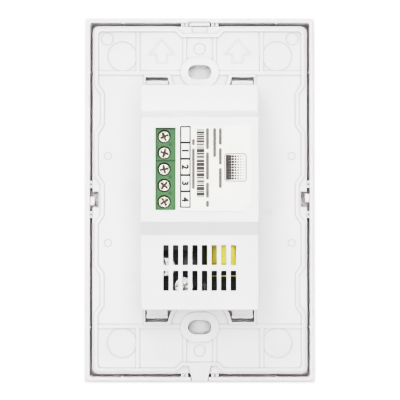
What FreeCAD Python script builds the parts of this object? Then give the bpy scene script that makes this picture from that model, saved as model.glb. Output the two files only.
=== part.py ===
import FreeCAD, Part
import math
import os
import Sketcher
from types import SimpleNamespace

# Wall-mounted touch switch for a US device box, seen from the wall side.
# +Y points into the wall, -Y into the room, +Z is up, and +X is on the left when it is seen
# from the wall side. The origin lies midway between the two box-screw slots, on the wall plane.
# All sizes are millimetres.

SIZES = {
    # mounting plate
    "plate_width": 70.0,
    "plate_height": 113.5,
    "plate_thickness": 1.7,
    "plate_corner": 2.2,
    "rib_height": 0.9,
    "skirt_depth": 2.4,
    "skirt_wall": 1.2,
    "rim_inset": 0.65,
    "rim_width": 1.15,
    "rim_corner": 1.2,
    "side_pocket_pitch": 29.5,
    "side_pocket_half": 7.7,
    "side_pocket_run": 2.8,
    "side_pocket_depth": 1.95,
    "end_pocket_half": 7.4,
    "end_pocket_run": 1.8,
    "end_pocket_depth": 1.9,
    "end_pocket_sink": 0.5,
    "web_height": 0.5,
    "cross_rib_z": 41.4,
    "cross_rib_width": 1.3,
    "outer_rib_x": 20.2,
    "outer_rib_width": 1.2,
    "inner_rib_x": 4.9,
    "inner_rib_width": 1.1,
    # box-screw slots and the bosses round them
    "slot_spacing": 83.3,
    "slot_length": 7.6,
    "slot_width": 4.6,
    "slot_margin": 2.5,
    # raised collar and the four windows for the snap arms
    "window_end_gap": 1.95,
    "window_side_gap": 0.3,
    "collar_end_wall": 0.85,
    "collar_side_wall": 0.55,
    "arch_radius": 9.4,
    "arch_wall": 1.2,
    # marks moulded in the plate
    "mark_line": 0.25,
    "mark_depth": 0.12,
    "large_mark_radius": 4.95,
    "large_mark_x": 25.3,
    "large_mark_z": 46.8,
    "small_mark_radius": 2.1,
    "small_mark_x": 30.3,
    "small_mark_z": 52.6,
    "ejector_radius": 1.3,
    "ejector_x": 30.0,
    "ejector_z": 14.2,
    "end_mark_radius": 2.0,
    "end_mark_z": 49.3,
    "gate_radius": 1.0,
    "gate_x": 22.5,
    "gate_z": 4.3,
    "arrow_x": 12.45,
    "arrow_tip_z": 52.9,
    "arrow_height": 8.3,
    "arrow_head_height": 5.5,
    "arrow_head_width": 9.2,
    "arrow_stem_width": 3.8,
    "arrow_line": 0.4,
    "arrow_relief": 0.15,
    # clip notches and the pry tongue of the plate
    "side_notch_depth": 2.0,
    "side_notch_height": 5.1,
    "top_notch_depth": 1.95,
    "top_notch_width": 5.2,
    "top_notch_web": 0.6,
    "tongue_root_width": 7.6,
    "tongue_tip_width": 4.9,
    # front panel frame
    "side_gap": 0.9,
    "end_gap": 1.1,
    "frame_wall": 1.4,
    "frame_corner": 1.6,
    "rim_drop": 0.4,
    "rim_chamfer": 0.3,
    "floor_thickness": 1.8,
    "guide_inner": 3.75,
    "guide_outer": 6.15,
    "guide_groove": 0.5,
    "guide_drop": 0.5,
    "guide_clearance": 0.1,
    "tab_length": 1.5,
    "tab_height": 2.7,
    "tab_offset": 0.5,
    "tab_drop": 0.8,
    "tab_thickness": 1.6,
    "latch_width": 6.9,
    "latch_reach": 0.85,
    "latch_recess": 0.4,
    "latch_drop": 1.2,
    "crush_radius": 0.35,
    "crush_x": 25.1,
    "crush_z": 41.7,
    "tongue_clearance": 0.3,
    # glass, its tape and the touch marks
    "side_overhang": 1.2,
    "end_overhang": 1.5,
    "glass_thickness": 3.0,
    "glass_corner": 1.0,
    "glass_bevel": 0.5,
    "glass_gap": 0.3,
    "tape_thickness": 0.25,
    "tape_inset": 1.5,
    "key_spacing": 28.0,
    "ring_radius": 8.8,
    "ring_line": 1.0,
    "ring_depth": 0.4,
    # cover over the touch board
    "cover_half_width": 27.0,
    "cover_depth": 6.75,
    "cover_wall": 1.4,
    "cover_face": 1.5,
    "cover_clearance": 0.6,
    "cover_cut_margin": 0.75,
    "snap_width": 7.0,
    "snap_thickness": 0.7,
    "snap_play": 0.1,
    "snap_barb": 0.4,
    "snap_barb_depth": 0.75,
    "snap_top": 0.1,
    # touch board and what it carries
    "touch_board_width": 50.0,
    "touch_board_height": 56.0,
    "touch_board_gap": 1.4,
    "touch_board_thickness": 1.6,
    "support_x": 22.0,
    "support_z": 25.0,
    "support_radius": 2.0,
    "pad_radius": 5.0,
    "pad_gap": 0.25,
    "guide_width": 1.6,
    "guide_fit": 0.05,
    "led_length": 1.6,
    "led_width": 0.8,
    "led_height": 0.6,
    "led_gap": 0.1,
    "chip_width": 5.0,
    "chip_length": 6.2,
    "chip_height": 1.5,
    # rear housing
    "housing_wall": 1.6,
    "housing_round": 0.5,
    "deck_level": 26.0,
    "head_level": 21.5,
    "vent_level": 22.0,
    "deck_top_inset": 10.6,
    "head_slope": 2.5,
    "deck_bottom_inset": 27.5,
    "vent_slope": 4.0,
    "lug_width": 6.8,
    "lug_side_inset": 1.1,
    "lug_thickness": 1.4,
    "lug_root": 0.85,
    "lug_reach": 2.75,
    # vents
    "vent_pitch": 3.0,
    "vent_width": 1.6,
    "vent_length": 6.1,
    "vent_row_spacing": 8.0,
    "vent_end_inset": 13.2,
    # power board
    "board_stand": 4.4,
    "board_thickness": 1.6,
    "board_margin": 0.3,
    "post_radius": 2.4,
    "post_side_gap": 0.6,
    "post_end_gap": 1.05,
    "part_gap": 0.05,
    "screw_radius": 0.85,
    "screw_head_radius": 1.9,
    "screw_head_height": 1.4,
    "screw_length": 5.3,
    "screw_fit": 0.05,
    "screw_hole": 1.15,
    "screw_slot": 0.5,
    # terminal blocks
    "terminal_z": 8.67,
    "way_pitch": 5.08,
    "block_depth": 11.1,
    "block_side_gap": 0.2,
    "block_top_gap": 0.1,
    "block_fit": 0.04,
    "screw_inset": 5.53,
    "opening_inner": 3.57,
    "opening_outer": 2.63,
    "head_recess": 1.5,
    "head_height": 2.3,
    "head_radius": 1.9,
    "head_bevel": 0.2,
    "head_play": 0.1,
    "head_side_play": 0.12,
    "shoulder": 0.5,
    "shank_radius": 1.25,
    "shank_play": 0.05,
    "cross_length": 2.7,
    "cross_width": 0.55,
    "cross_depth": 1.1,
    "chamber_play": 0.15,
    "clamp_travel": 2.0,
    "clamp_rise_gap": 0.3,
    "clamp_height": 8.0,
    "clamp_width": 4.0,
    "clamp_length": 5.0,
    "clamp_top_wall": 1.4,
    "clamp_bottom_wall": 1.2,
    "clamp_side_wall": 0.6,
    "strip_gap": 0.8,
    "strip_thickness": 0.8,
    "strip_width": 2.4,
    "strip_fit": 0.1,
    "screw_end_gap": 0.5,
    "pin_inset": 0.9,
    "pin_width": 1.0,
    "pin_thickness": 0.8,
    "pin_tail": 1.3,
    "pin_hole": 0.75,
    "mouth_width": 3.6,
    "wire_window_margin": 0.6,
    "wire_window_rise": 1.2,
    # label
    "label_screw_gap": 0.87,
    "label_side_inset": 2.27,
    "label_top_inset": 2.3,
    "label_bottom_inset": 3.35,
    "label_corner": 2.9,
    "label_thickness": 0.12,
    # relays
    "relay_width": 14.6,
    "relay_depth": 9.8,
    "relay_height": 15.0,
    "relay_round": 0.4,
    "relay_one_side_gap": 0.6,
    "relay_one_block_gap": 2.94,
    "relay_two_side_gap": 0.7,
    "relay_two_film_gap": 1.3,
    # transformer
    "core_side_gap": 1.3,
    "core_relay_gap": 1.1,
    "rail_relay_gap": 2.2,
    "core_leg": 4.0,
    "core_outer_leg": 2.2,
    "core_plate": 3.0,
    "core_width": 16.0,
    "core_thickness": 5.0,
    "winding_width": 11.0,
    "winding_height": 11.6,
    "winding_length": 9.0,
    "winding_round": 2.6,
    "bobbin_wall": 0.8,
    "bobbin_flange": 0.6,
    "bobbin_proud": 0.3,
    "bobbin_play": 0.05,
    "rail_height": 2.2,
    "rail_width": 12.0,
    "rail_reach": 3.3,
    "winding_stand": 1.9,
    # round capacitors
    "can_groove": 0.35,
    "can_groove_rise": 1.8,
    "can_rim": 0.45,
    "filter_relay_gap": 1.45,
    "filter_radius": 2.5,
    "filter_height": 13.8,
    "filter_standby_gap": 1.3,
    "output_offset": 1.65,
    "output_filter_gap": 1.3,
    "output_end_gap": 1.0,
    "output_radius": 3.35,
    "output_height": 12.0,
    "standby_side_gap": 2.95,
    "standby_relay_gap": 1.6,
    "standby_radius": 3.35,
    "standby_height": 12.6,
    # other parts on the power board
    "film_side_gap": 1.3,
    "film_varistor_gap": 2.1,
    "film_width": 12.4,
    "film_depth": 5.8,
    "film_height": 11.5,
    "film_round": 0.5,
    "varistor_side_gap": 2.3,
    "varistor_radio_gap": 1.4,
    "varistor_radius": 5.0,
    "varistor_thickness": 3.8,
    "disc_edge_inset": 0.7,
    "disc_edge_flat": 0.4,
    "fuse_block_gap": 0.3,
    "fuse_rectifier_gap": 3.8,
    "fuse_radius": 4.0,
    "fuse_height": 7.8,
    "choke_block_gap": 0.9,
    "choke_fuse_gap": 0.3,
    "choke_radius": 3.6,
    "choke_height": 8.5,
    "choke_flange": 1.1,
    "choke_waist": 2.9,
    "rectifier_side_gap": 3.0,
    "rectifier_block_gap": 0.63,
    "rectifier_post_gap": 0.3,
    "rectifier_width": 8.4,
    "rectifier_depth": 6.0,
    "rectifier_height": 3.2,
    "ceramic_output_gap": 0.7,
    "ceramic_output_drop": 2.1,
    "ceramic_radius": 2.4,
    "ceramic_thickness": 2.2,
    # radio module
    "radio_side_gap": 1.8,
    "radio_post_gap": 0.7,
    "radio_width": 12.0,
    "radio_depth": 10.2,
    "radio_thickness": 1.0,
    "shield_width": 7.6,
    "shield_depth": 8.6,
    "shield_height": 1.9,
    "shield_inset": 0.8,
    "antenna_width": 2.2,
    "antenna_length": 6.4,
    "antenna_height": 1.2,
    # header between the boards
    "header_post_drop": 4.4,
    "header_pitch": 2.54,
    "header_pin": 0.64,
    "header_body": 2.5,
    "header_window_play": 0.3,
    "socket_height": 4.9,
    "socket_bore": 0.8,
    "header_pin_end": 1.5,
    "header_hole": 0.5,
    # how far a cut runs on past the face that it opens
    "overshoot": 1.0,
}

VENTS_PER_ROW = 8
HEADER_COLUMNS = 4
SCREW_TURNS = (24, 71, 12, 52, 33)
ENDS = (1, -1)
ROWS = (0.5, -0.5)
PARALLEL = 0.999
NEAR = 0.05

doc = FreeCAD.newDocument("TouchSwitch")
sheet = doc.addObject("Spreadsheet::Sheet", "Sizes")
for row, (alias, size) in enumerate(SIZES.items(), start=1):
    sheet.set("A%d" % row, alias)
    sheet.set("B%d" % row, str(size))
    sheet.setAlias("B%d" % row, alias)
doc.recompute()


class Length:
    """A length as a number, beside the expression that ties it to the sheet."""

    def __init__(self, number, text):
        self.number = number
        self.text = text

    def __add__(self, other):
        other = as_length(other)
        return Length(self.number + other.number, "(%s + %s)" % (self.text, other.text))

    def __sub__(self, other):
        other = as_length(other)
        return Length(self.number - other.number, "(%s - %s)" % (self.text, other.text))

    def __mul__(self, other):
        other = as_length(other)
        return Length(self.number * other.number, "(%s * %s)" % (self.text, other.text))

    def __truediv__(self, other):
        other = as_length(other)
        return Length(self.number / other.number, "(%s / %s)" % (self.text, other.text))

    def __radd__(self, other):
        return as_length(other) + self

    def __rsub__(self, other):
        return as_length(other) - self

    def __rmul__(self, other):
        return as_length(other) * self

    def __neg__(self):
        return 0 - self


def as_length(item):
    if isinstance(item, Length):
        return item
    return Length(item, "(%r)" % item)


def hypotenuse(one, other):
    return Length(
        math.hypot(one.number, other.number), "hypot(%s; %s)" % (one.text, other.text)
    )


def largest(*lengths):
    texts = "; ".join(length.text for length in lengths)
    return Length(max(length.number for length in lengths), "max(%s)" % texts)


mm = SimpleNamespace(
    **{alias: Length(float(sheet.get(alias)), "Sizes." + alias) for alias in SIZES}
)


def bind(item, prop, length):
    item.setExpression(prop, as_length(length).text)


# Part primitives and booleans, tied to the sheet


def box(name, x, y, z):
    """A block between a low and a high value on each axis."""
    block = doc.addObject("Part::Box", name)
    for axis, side, (low, high) in zip("xyz", ("Length", "Width", "Height"), (x, y, z)):
        bind(block, "Placement.Base." + axis, low)
        bind(block, side, high - low)
    return block


def rod(name, x, z, radius, low, high):
    """A round rod along Y between two levels."""
    bar = doc.addObject("Part::Cylinder", name)
    bar.Placement = FreeCAD.Placement(
        FreeCAD.Vector(), FreeCAD.Rotation(FreeCAD.Vector(1, 0, 0), -90)
    )
    for axis, place in zip("xyz", (x, low, z)):
        bind(bar, "Placement.Base." + axis, place)
    bind(bar, "Radius", radius)
    bind(bar, "Height", high - low)
    return bar


def fuse(name, pieces):
    joined = doc.addObject("Part::MultiFuse", name)
    joined.Shapes = pieces
    joined.Refine = True
    return joined


def cut(name, base, tools):
    result = doc.addObject("Part::Cut", name)
    result.Base = base
    result.Tool = tools[0] if len(tools) == 1 else fuse(name + "_tools", tools)
    return result


def group(name, pieces):
    """Separate solids that share one node."""
    together = doc.addObject("Part::Compound", name)
    together.Links = pieces
    return together


def span(centre, width):
    """The low and high ends of a width about its centre."""
    return centre - width / 2, centre + width / 2


def ordered(one, other):
    """The same two ends, lower first."""
    return (one, other) if one.number < other.number else (other, one)


# PartDesign bodies: each sketch lies on one of its body's own planes


def new_body(name):
    return doc.addObject("PartDesign::Body", name)


def sketch(body, role, level):
    """An empty sketch at a level: on XZ it faces -Y, on YZ it faces +X, on XY it faces +Z."""
    plane = [item for item in body.Origin.OriginFeatures if item.Role == role][0]
    drawing = body.newObject("Sketcher::SketchObject", body.Name + "_sketch")
    drawing.AttachmentSupport = [(plane, "")]
    drawing.MapMode = "FlatFace"
    bind(drawing, "AttachmentOffset.Base.z", -level if role == "XZ_Plane" else level)
    return drawing


def constrain(drawing, joints, dimensions):
    """Adds how new curves join and what they measure, and ties each measure to the sheet."""
    rules = [Sketcher.Constraint(*joint) for joint in joints]
    for kind, places, length in dimensions:
        rules.append(Sketcher.Constraint(kind, *places, as_length(length).number))
    drawing.addConstraint(rules)
    first = drawing.ConstraintCount - len(dimensions)
    for index, (kind, places, length) in enumerate(dimensions, start=first):
        bind(drawing, "Constraints[%d]" % index, length)


def placed(curve, end, x, y):
    """The two dimensions that place one point of a curve from the sketch's origin."""
    return [("DistanceX", (-1, 1, curve, end), x), ("DistanceY", (-1, 1, curve, end), y)]


def point(x, y):
    return FreeCAD.Vector(as_length(x).number, as_length(y).number, 0)


def outline(drawing, corners):
    """A closed outline of straight sides."""
    first = drawing.GeometryCount
    ends = corners[1:] + corners[:1]
    for here, there in zip(corners, ends):
        drawing.addGeometry(Part.LineSegment(point(*here), point(*there)))
    joints = []
    dimensions = []
    for index, corner in enumerate(corners):
        following = first + (index + 1) % len(corners)
        joints.append(("Coincident", first + index, 2, following, 1))
        dimensions += placed(first + index, 1, *corner)
    constrain(drawing, joints, dimensions)


def rectangle(drawing, x, y):
    outline(drawing, [(x[0], y[0]), (x[1], y[0]), (x[1], y[1]), (x[0], y[1])])


def circle(drawing, x, y, radius):
    curve = drawing.addGeometry(
        Part.Circle(point(x, y), FreeCAD.Vector(0, 0, 1), as_length(radius).number)
    )
    constrain(drawing, [], placed(curve, 3, x, y) + [("Radius", (curve,), radius)])


def rounded_rectangle(drawing, x, y, radius):
    """A rectangle with a quarter circle at each corner, drawn the way the clock runs back."""
    first = drawing.GeometryCount
    centres = [
        (x[1] - radius, y[0] + radius),
        (x[1] - radius, y[1] - radius),
        (x[0] + radius, y[1] - radius),
        (x[0] + radius, y[0] + radius),
    ]
    for quarter, centre in enumerate(centres):
        start = (quarter - 1) * math.pi / 2
        whole = Part.Circle(point(*centre), FreeCAD.Vector(0, 0, 1), radius.number)
        drawing.addGeometry(Part.ArcOfCircle(whole, start, start + math.pi / 2))
    for index in range(4):
        here = drawing.Geometry[first + index].EndPoint
        there = drawing.Geometry[first + (index + 1) % 4].StartPoint
        drawing.addGeometry(Part.LineSegment(here, there))
    joints = []
    dimensions = [("Radius", (first,), radius)]
    for index, centre in enumerate(centres):
        side = first + 4 + index
        following = first + (index + 1) % 4
        joints.append(("Tangent", first + index, 2, side, 1))
        joints.append(("Tangent", side, 2, following, 1))
        dimensions += placed(first + index, 3, *centre)
    constrain(drawing, joints, dimensions)


def stadium(drawing, x, y, length, width):
    """A slot lying along the sketch's first axis, with round ends."""
    first = drawing.GeometryCount
    half = (length - width) / 2
    radius = width / 2
    for centre, start in ((x + half, -90), (x - half, 90)):
        whole = Part.Circle(point(centre, y), FreeCAD.Vector(0, 0, 1), radius.number)
        angle = math.radians(start)
        drawing.addGeometry(Part.ArcOfCircle(whole, angle, angle + math.pi))
    right, left = (drawing.Geometry[first + index] for index in range(2))
    drawing.addGeometry(Part.LineSegment(right.EndPoint, left.StartPoint))
    drawing.addGeometry(Part.LineSegment(left.EndPoint, right.StartPoint))
    order = (first, first + 2, first + 1, first + 3)
    joints = [("Tangent", order[n], 2, order[(n + 1) % 4], 1) for n in range(4)]
    dimensions = placed(first, 3, x + half, y) + placed(first + 1, 3, x - half, y)
    constrain(drawing, joints, dimensions + [("Radius", (first,), radius)])


def pad(body, drawing, depth):
    """Adds material from the sketch, the way it faces."""
    feature = body.newObject("PartDesign::Pad", body.Name + "_pad")
    feature.Profile = drawing
    bind(feature, "Length", depth)
    drawing.Visibility = False
    doc.recompute()
    return feature


def pocket(body, drawing, depth):
    """Takes material away from the sketch, the way it faces."""
    feature = body.newObject("PartDesign::Pocket", body.Name + "_pocket")
    feature.Profile = drawing
    feature.Reversed = True
    bind(feature, "Length", depth)
    before = body.Shape.Volume
    doc.recompute()
    if body.Shape.Volume >= before:
        raise RuntimeError("%s cuts nothing" % feature.Name)
    return feature


def revolve(body, drawing):
    """Turns a half section about the sketch's upright axis."""
    feature = body.newObject("PartDesign::Revolution", body.Name + "_turned")
    feature.Profile = drawing
    feature.ReferenceAxis = (drawing, ["V_Axis"])
    feature.Angle = 360
    doc.recompute()
    return feature


def edge_names(shape, wanted):
    return ["Edge%d" % n for n, edge in enumerate(shape.Edges, start=1) if wanted(edge)]


def along_y(edge):
    start, end = edge.Vertexes[0].Point, edge.Vertexes[-1].Point
    reach = start.distanceToPoint(end)
    return reach > 0 and abs(start.y - end.y) > PARALLEL * reach


def dress(body, kind, prop, edges, length):
    """A fillet or chamfer on the named edges of the body's last feature."""
    base = body.Tip
    feature = body.newObject("PartDesign::" + kind, body.Name + "_" + kind.lower())
    feature.Base = (base, edges)
    bind(feature, prop, length)
    doc.recompute()
    return feature


def rounded_block(name, x, z, low, high, rounding):
    """A moulded case: a padded rectangle with every edge eased."""
    body = new_body(name)
    drawing = sketch(body, "XZ_Plane", high)
    rectangle(drawing, x, z)
    pad(body, drawing, high - low)
    dress(body, "Fillet", "Radius", edge_names(body.Shape, lambda edge: True), rounding)
    return body


# Levels along Y, counted from the wall plane

plate_floor = -mm.rib_height
plate_front = plate_floor - mm.plate_thickness
skirt_front = plate_front - mm.skirt_depth
cover_front = plate_front - mm.cover_depth
glass_rear = cover_front - mm.glass_gap
glass_front = glass_rear - mm.glass_thickness
frame_front = glass_rear + mm.tape_thickness
frame_floor = frame_front + mm.floor_thickness
frame_rim = -mm.rim_drop
touch_rear = plate_front - mm.touch_board_gap
touch_front = touch_rear - mm.touch_board_thickness
cover_inside = cover_front + mm.cover_face
board_front = plate_floor + mm.board_stand
board_rear = board_front + mm.board_thickness
deck_inside = mm.deck_level - mm.housing_wall

# Terminal places along Z, which the parts on the power board follow

WAYS = [mm.terminal_z + step * mm.way_pitch for step in (2, 1, 0, -1, -2)]
block_high = WAYS[0] + mm.way_pitch / 2
block_low = WAYS[4] - mm.way_pitch / 2

# The housing is as wide inside as the widest row of parts on the power board

relay_row = mm.core_side_gap + mm.core_width + mm.core_relay_gap + mm.relay_width
relay_row += mm.relay_one_side_gap
terminals = mm.block_depth + mm.block_side_gap + mm.part_gap
second_row = mm.relay_two_side_gap + mm.relay_width + terminals
film_row = mm.film_side_gap + mm.film_width + 2 * mm.choke_radius + mm.choke_block_gap + terminals
fuse_row = 2 * mm.fuse_radius + mm.fuse_block_gap + terminals
varistor_row = mm.varistor_side_gap + 2 * mm.varistor_radius + fuse_row
radio_row = mm.radio_side_gap + mm.radio_width + fuse_row
can_row = mm.core_side_gap + mm.core_width + 2 * mm.filter_radius + 2 * mm.standby_radius
can_row += mm.standby_side_gap + mm.filter_standby_gap + mm.part_gap
housing_inner_x = largest(
    relay_row / 2, second_row / 2, film_row / 2, varistor_row / 2, radio_row / 2, can_row / 2
)
housing_x = housing_inner_x + mm.housing_wall

# It is as high as its longest column of parts, with the board screws

rectifier_low = block_high + mm.rectifier_block_gap
rectifier_high = rectifier_low + mm.rectifier_depth
relay_one_high = block_low - mm.relay_one_block_gap
relay_one_low = relay_one_high - mm.relay_depth
filter_low = relay_one_low - mm.filter_relay_gap - 2 * mm.filter_radius
output_low = filter_low - mm.output_filter_gap - 2 * mm.output_radius
rail_half = mm.winding_length / 2 + mm.bobbin_flange + mm.rail_reach
right_column = mm.radio_post_gap + mm.radio_depth + mm.varistor_radio_gap + mm.varistor_thickness
right_column += mm.film_varistor_gap + mm.film_depth + mm.relay_two_film_gap + mm.relay_depth
right_column += mm.rail_relay_gap + 2 * rail_half
screw_room = mm.screw_head_radius + mm.post_radius + mm.post_end_gap
housing_inner_z = largest(
    rectifier_high + mm.rectifier_post_gap + screw_room,
    right_column / 2 + screw_room,
    mm.output_end_gap - output_low,
)
housing_z = housing_inner_z + mm.housing_wall
post_x = housing_inner_x - mm.post_side_gap - mm.post_radius
post_z = housing_inner_z - mm.post_end_gap - mm.post_radius

# Places of the parts on the power board, each from a wall or a neighbour and a gap

relay_one_x = housing_inner_x - mm.relay_one_side_gap - mm.relay_width / 2
relay_one_z = (relay_one_high + relay_one_low) / 2
standby_x = housing_inner_x - mm.standby_side_gap - mm.standby_radius
standby_z = relay_one_low - mm.standby_relay_gap - mm.standby_radius
filter_x = standby_x - mm.standby_radius - mm.filter_standby_gap - mm.filter_radius
filter_z = filter_low + mm.filter_radius
output_x = filter_x + mm.output_offset
output_z = output_low + mm.output_radius
ceramic_x = output_x - mm.output_radius - mm.ceramic_output_gap - mm.ceramic_thickness / 2
ceramic_z = output_z - mm.ceramic_output_drop
rectifier_x = housing_inner_x - mm.rectifier_side_gap - mm.rectifier_width / 2
rectifier_z = (rectifier_low + rectifier_high) / 2
radio_x = -housing_inner_x + mm.radio_side_gap + mm.radio_width / 2
radio_z = post_z - mm.screw_head_radius - mm.radio_post_gap - mm.radio_depth / 2
varistor_x = -housing_inner_x + mm.varistor_side_gap + mm.varistor_radius
varistor_high = radio_z - mm.radio_depth / 2 - mm.varistor_radio_gap
varistor_z = varistor_high - mm.varistor_thickness / 2
film_x = -housing_inner_x + mm.film_side_gap + mm.film_width / 2
film_high = varistor_high - mm.varistor_thickness - mm.film_varistor_gap
film_z = film_high - mm.film_depth / 2
relay_two_x = -housing_inner_x + mm.relay_two_side_gap + mm.relay_width / 2
relay_two_high = film_high - mm.film_depth - mm.relay_two_film_gap
relay_two_z = relay_two_high - mm.relay_depth / 2
transformer_x = -housing_inner_x + mm.core_side_gap + mm.core_width / 2
transformer_z = relay_two_high - mm.relay_depth - mm.rail_relay_gap - rail_half
header_z = post_z - mm.header_post_drop

# Half sizes across the face

plate_x = mm.plate_width / 2
plate_z = mm.plate_height / 2
frame_inner_x = plate_x + mm.side_gap
frame_inner_z = plate_z + mm.end_gap
frame_x = frame_inner_x + mm.frame_wall
frame_z = frame_inner_z + mm.frame_wall
glass_x = frame_x + mm.side_overhang
glass_z = frame_z + mm.end_overhang
slot_z = mm.slot_spacing / 2
deck_high = housing_z - mm.deck_top_inset
deck_low = -housing_z + mm.deck_bottom_inset
lug_x = housing_x - mm.lug_side_inset - mm.lug_width / 2
lug_end = housing_z + mm.lug_reach
arch_outer = mm.arch_radius + mm.arch_wall
window_half_width = lug_x + mm.snap_width / 2 + mm.window_side_gap
window_reach = lug_end + mm.window_end_gap
collar_z = window_reach + mm.collar_end_wall
collar_x = window_half_width + mm.collar_side_wall
window_root = housing_z - mm.lug_root - mm.strip_fit
cover_z = lug_end + mm.snap_play + mm.snap_thickness
key_z = mm.key_spacing / 2
pocket_z = plate_z - mm.rim_inset - mm.end_pocket_depth
tongue_root = pocket_z - mm.rim_width / 2

# The light guide of each key lies under the ring in the glass

guide_outer_radius = mm.ring_radius
guide_inner_radius = mm.ring_radius - mm.guide_width
led_circle = guide_outer_radius - mm.guide_width / 2

# Terminal levels and places

block_top = deck_inside - mm.block_top_gap
block_face = housing_inner_x - mm.block_side_gap
block_back = block_face - mm.block_depth
screw_x = block_face - mm.screw_inset
head_top = block_top - mm.head_recess
head_bottom = head_top - mm.head_height
chamber_top = head_bottom - mm.head_play - mm.shoulder
clamp_top = chamber_top - mm.clamp_rise_gap - mm.clamp_travel
clamp_bottom = clamp_top - mm.clamp_height
chamber_bottom = clamp_bottom - mm.chamber_play
strip_top = clamp_top - mm.clamp_top_wall - mm.strip_gap
strip_bottom = strip_top - mm.strip_thickness
pin_x = block_back + mm.pin_inset + mm.pin_thickness / 2
fuse_x = block_back - mm.fuse_block_gap - mm.fuse_radius
fuse_z = rectifier_low - mm.fuse_rectifier_gap - mm.fuse_radius
choke_x = block_back - mm.choke_block_gap - mm.choke_radius
choke_z = fuse_z - mm.fuse_radius - mm.choke_fuse_gap - mm.choke_radius


def rim_loop(inset, grow):
    """The plate's perimeter line with its pockets, inset from the edge. A line that lies further
    in by grow has longer pockets, by grow times the tangent of half the turn at each corner."""
    x = plate_x - inset
    z = plate_z - inset
    side_slant = hypotenuse(mm.side_pocket_run, mm.side_pocket_depth)
    side_half = mm.side_pocket_half + grow * (side_slant - mm.side_pocket_run) / mm.side_pocket_depth
    end_slant = hypotenuse(mm.end_pocket_run, mm.end_pocket_depth)
    end_half = mm.end_pocket_half + grow * (end_slant - mm.end_pocket_run) / mm.end_pocket_depth
    side = []
    for step in (-1, 0, 1):
        centre = step * mm.side_pocket_pitch
        side += [
            (x, centre - side_half),
            (x - mm.side_pocket_depth, centre - side_half + mm.side_pocket_run),
            (x - mm.side_pocket_depth, centre + side_half - mm.side_pocket_run),
            (x, centre + side_half),
        ]
    end = [
        (end_half, z),
        (end_half - mm.end_pocket_run, z - mm.end_pocket_depth),
        (-end_half + mm.end_pocket_run, z - mm.end_pocket_depth),
        (-end_half, z),
    ]
    half = [(x, -z)] + side + [(x, z)] + end
    return half + [(-px, -pz) for px, pz in half]


def ring(drawing, x, z, radius):
    """Two circles, one line's width apart."""
    circle(drawing, x, z, radius)
    circle(drawing, x, z, radius - mm.mark_line)


def arrow(drawing, x):
    """An arrow that points up, as an outline of even width."""
    half = mm.arrow_head_width / 2
    slant = hypotenuse(half, mm.arrow_head_height)
    tip_drop = mm.arrow_line * slant / half
    inner_half = (mm.arrow_head_height - mm.arrow_line - tip_drop) * half / mm.arrow_head_height
    shapes = (
        (0, half, mm.arrow_head_height, mm.arrow_stem_width / 2, mm.arrow_height),
        (
            tip_drop,
            inner_half,
            mm.arrow_head_height - mm.arrow_line,
            mm.arrow_stem_width / 2 - mm.arrow_line,
            mm.arrow_height - mm.arrow_line,
        ),
    )
    for tip, wide, head, stem, foot in shapes:
        top = mm.arrow_tip_z
        right = [(x + wide, top - head), (x + stem, top - head), (x + stem, top - foot)]
        left = [(2 * x - px, pz) for px, pz in reversed(right)]
        outline(drawing, [(x, top - tip)] + right + left)


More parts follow.
